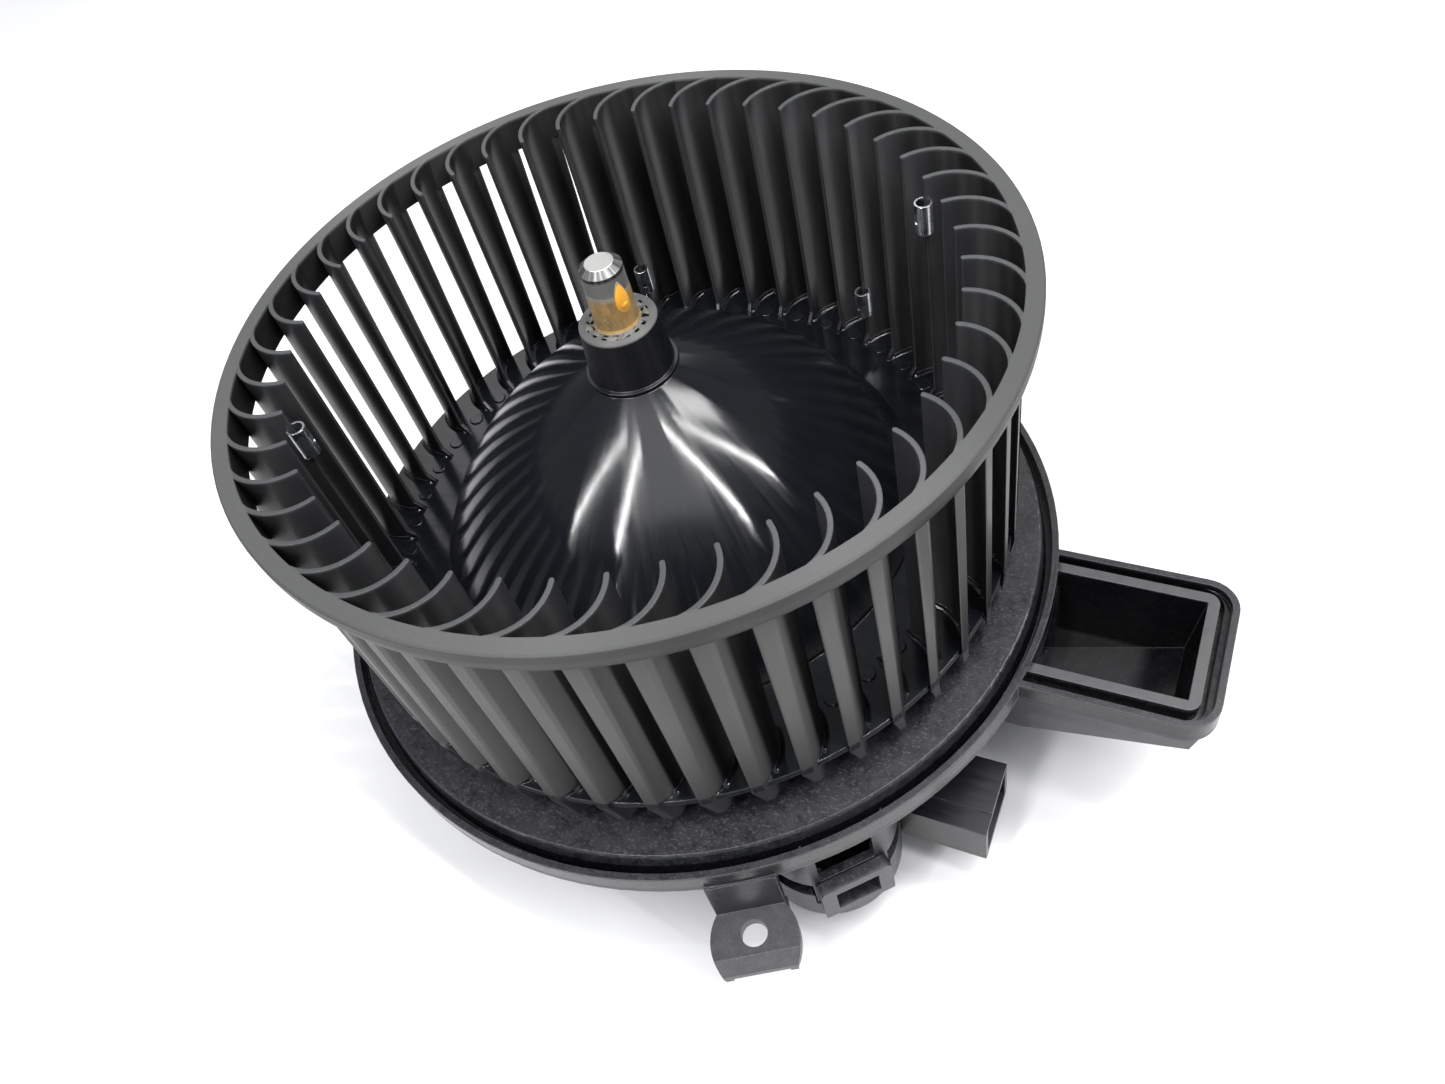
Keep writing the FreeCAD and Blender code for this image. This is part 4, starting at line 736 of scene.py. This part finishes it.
def adhesive_drip(finish):
    """Thick orange run of adhesive down the shaft."""
    draw = random.Random(DRIP_SEED)
    bm = bmesh.new()
    bmesh.ops.create_icosphere(bm, subdivisions=4, radius=1.0)
    starts = [draw.uniform(*WAVE_START) for _ in range(3)]
    for vertex in bm.verts:
        out, side, up = vertex.co
        swell = (1 + DRIP_SWELLS[0] * math.sin(2 * up + starts[0])
                 + DRIP_SWELLS[1] * math.sin(3 * side + 2 * up + starts[1]))
        taper = 1 - DRIP_TAPER * max(up, DRIP_TAPER_FROM)
        x, y = turned(SHAFT_R - DRIP_SUNK + DRIP_DEPTH * out * swell,
                      DRIP_HALF_WIDTH * side * swell * taper, DRIP_ANGLE)
        vertex.co = (x, y, DRIP_Z + DRIP_HALF_HEIGHT * up + DRIP_SLUMP * math.sin(2 * side + starts[2]))
    piece("adhesive_drip", bm, "rotor", finish)


def swept_tube(path, radius_at, sides):
    """Closed tube along a path of (x, y, z); radius_at(step, turn) gives its radius round each ring."""
    bm = bmesh.new()
    points = [Vector(point) for point in path]
    sideways = (points[1] - points[0]).orthogonal()
    rings = []
    for step, point in enumerate(points):
        ahead = (points[min(step + 1, len(points) - 1)] - points[max(step - 1, 0)]).normalized()
        sideways = (sideways - ahead * sideways.dot(ahead)).normalized()
        across = ahead.cross(sideways)
        ring = []
        for side in range(sides):
            turn = 2 * math.pi * side / sides
            out = sideways * math.cos(turn) + across * math.sin(turn)
            ring.append(bm.verts.new(point + out * radius_at(step, turn)))
        rings.append(ring)
    join_rings(bm, rings)
    return bm


def brush_spring(label, angle, finish):
    """Coil spring with closed ends, behind its brush."""
    closed_rise = 2 * SPRING_WIRE_R + SPRING_COIL_GAP
    first, last = SPRING_SPAN[0] + SPRING_WIRE_R, SPRING_SPAN[1] - SPRING_WIRE_R
    open_rise = (last - first - SPRING_CLOSED_TURNS * closed_rise) / SPRING_OPEN_TURNS
    path = []
    for step in range(SPRING_STEPS * (SPRING_OPEN_TURNS + SPRING_CLOSED_TURNS) + 1):
        turns = step / SPRING_STEPS
        opened = min(max(turns - 1, 0), SPRING_OPEN_TURNS)
        out = first + open_rise * opened + closed_rise * (turns - opened)
        swing = 2 * math.pi * turns
        x, y = turned(out, SPRING_COIL_R * math.cos(swing), angle)
        path.append((x, y, SPRING_Z + SPRING_COIL_R * math.sin(swing)))
    bm = swept_tube(path, lambda step, turn: SPRING_WIRE_R, SPRING_SIDES)
    made = piece("coil_spring_" + label, bm, "housing", finish)
    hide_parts("brush_spring_" + label)
    x, y = turned(SPRING_SPAN[1], 0.0, angle)
    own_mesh(made)


def brush_lead(label, angle, finish):
    """Braided copper pigtail from the brush to the card."""
    low, high = LEAD_TOP_Z - LEAD_BEND, LEAD_SIDE - LEAD_BEND
    bends = [math.radians(90 * step / LEAD_BEND_STEPS) for step in range(LEAD_BEND_STEPS + 1)]
    outline = [(0.0, BRUSH_TOP_Z + (low - BRUSH_TOP_Z) * step / LEAD_FOOT_STEPS)
               for step in range(LEAD_FOOT_STEPS)]
    outline += [(LEAD_BEND * (1 - math.cos(turn)), low + LEAD_BEND * math.sin(turn)) for turn in bends]
    outline += [(LEAD_BEND + (high - LEAD_BEND) * step / LEAD_RUN_STEPS, LEAD_TOP_Z)
                for step in range(1, LEAD_RUN_STEPS)]
    outline += [(high + LEAD_BEND * math.sin(turn), low + LEAD_BEND * math.cos(turn)) for turn in bends]
    outline += [(LEAD_SIDE, low + (CARD_TOP_Z - low) * step / LEAD_RUN_STEPS)
                for step in range(1, LEAD_RUN_STEPS + 1)]
    path = [turned(LEAD_OUT, across, angle) + (z,) for across, z in outline]

    def strands(step, turn):
        """Radius of a braid whose strands cross over at each step."""
        return LEAD_R * (LEAD_SWELL[0] + LEAD_SWELL[1] * math.cos(LEAD_STRANDS * turn) * (-1) ** step)

    bm = swept_tube(path, strands, LEAD_SIDES)
    made = piece("braided_lead_" + label, bm, None, finish)
    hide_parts("brush_lead_" + label)
    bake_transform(made)


# ---------------------------------------------------------------- stage, light and camera
def pale_stage():
    """Floor that curves up into a backdrop, as one smooth sheet."""
    bm = bmesh.new()
    outline = [(BACKDROP_NEAR, 0.0), (BACKDROP_FAR, 0.0)]
    for step in range(1, BACKDROP_BEND_STEPS + 1):
        turn = math.radians(90.0 * step / BACKDROP_BEND_STEPS)
        outline.append((BACKDROP_FAR + BACKDROP_BEND_R * math.sin(turn),
                        BACKDROP_BEND_R * (1 - math.cos(turn))))
    outline.append((BACKDROP_FAR + BACKDROP_BEND_R, BACKDROP_TOP))
    rows = []
    for distance, lift in outline:
        rows.append([bm.verts.new((side * BACKDROP_HALF_WIDTH, distance, lift)) for side in (-1, 1)])
    for near, far in zip(rows, rows[1:]):
        bm.faces.new((near[0], near[1], far[1], far[0]))
    mesh = bpy.data.meshes.new("floor")
    bm.to_mesh(mesh)
    bm.free()
    mesh.shade_smooth()
    floor = bpy.data.objects.new("floor", mesh)
    turn = Matrix.Rotation(math.radians(BACKDROP_TURN), 4, "Z")
    floor.matrix_world = Matrix.Translation((0, 0, cad_low.z)) @ turn
    floor.data.materials.append(pale_floor())
    bpy.context.scene.collection.objects.link(floor)


def softbox(name, azimuth, elevation, distance, width, height, power, target):
    """Rectangular light at that bearing from the target, facing it, with its height upright."""
    turn, lift = math.radians(azimuth), math.radians(elevation)
    away = Vector((math.cos(turn) * math.cos(lift), math.sin(turn) * math.cos(lift), math.sin(lift)))
    light = bpy.data.lights.new(name, "AREA")
    light.shape = "RECTANGLE"
    light.size = width
    light.size_y = height
    light.energy = power
    lamp = bpy.data.objects.new(name, light)
    lamp.location = target + away * distance
    lamp.rotation_mode = "QUATERNION"
    lamp.rotation_quaternion = away.to_track_quat("Z", "Y")
    bpy.context.scene.collection.objects.link(lamp)


def studio_light():
    target = Vector((0, 0, LIGHT_TARGET_Z * MM))
    for name, azimuth, elevation, distance, width, height, power in LAMPS:
        softbox(name, azimuth, elevation, distance, width, height, power, target)
    world = bpy.data.worlds.new("soft_room")
    world.use_nodes = True
    sky = world.node_tree.nodes["Background"]
    sky.inputs["Color"].default_value = ROOM_COLOUR
    sky.inputs["Strength"].default_value = ROOM_LIGHT
    bpy.context.scene.world = world


def camera():
    cam = bpy.data.cameras.new("camera")
    cam.lens = CAMERA_LENS
    cam.sensor_width = CAMERA_SENSOR_WIDTH
    cam.clip_start, cam.clip_end = CAMERA_CLIP
    eye = bpy.data.objects.new("camera", cam)
    back = Vector(CAMERA_BACK).normalized()
    right = Vector(CAMERA_RIGHT)
    right = (right - back * right.dot(back)).normalized()
    up = back.cross(right)
    turn = Matrix((right, up, back)).transposed().to_4x4()
    eye.matrix_world = Matrix.Translation(Vector(CAMERA_PLACE) * MM) @ turn
    bpy.context.scene.collection.objects.link(eye)
    bpy.context.scene.camera = eye


finishes = all_finishes()
dress_cad_nodes(finishes)
blade_root_fillets(finishes["wheel_plastic"])
ejector_pads(finishes["wheel_plastic"])
adhesive_patches(finishes["dried_adhesive"])
adhesive_drip(finishes["amber_compound"])
for brush, bearing in BRUSHES.items():
    brush_spring(brush, bearing, finishes["spring_steel"])
    brush_lead(brush, bearing, finishes["copper"])
pale_stage()
studio_light()
camera()
bpy.context.scene.view_settings.view_transform = "Standard"
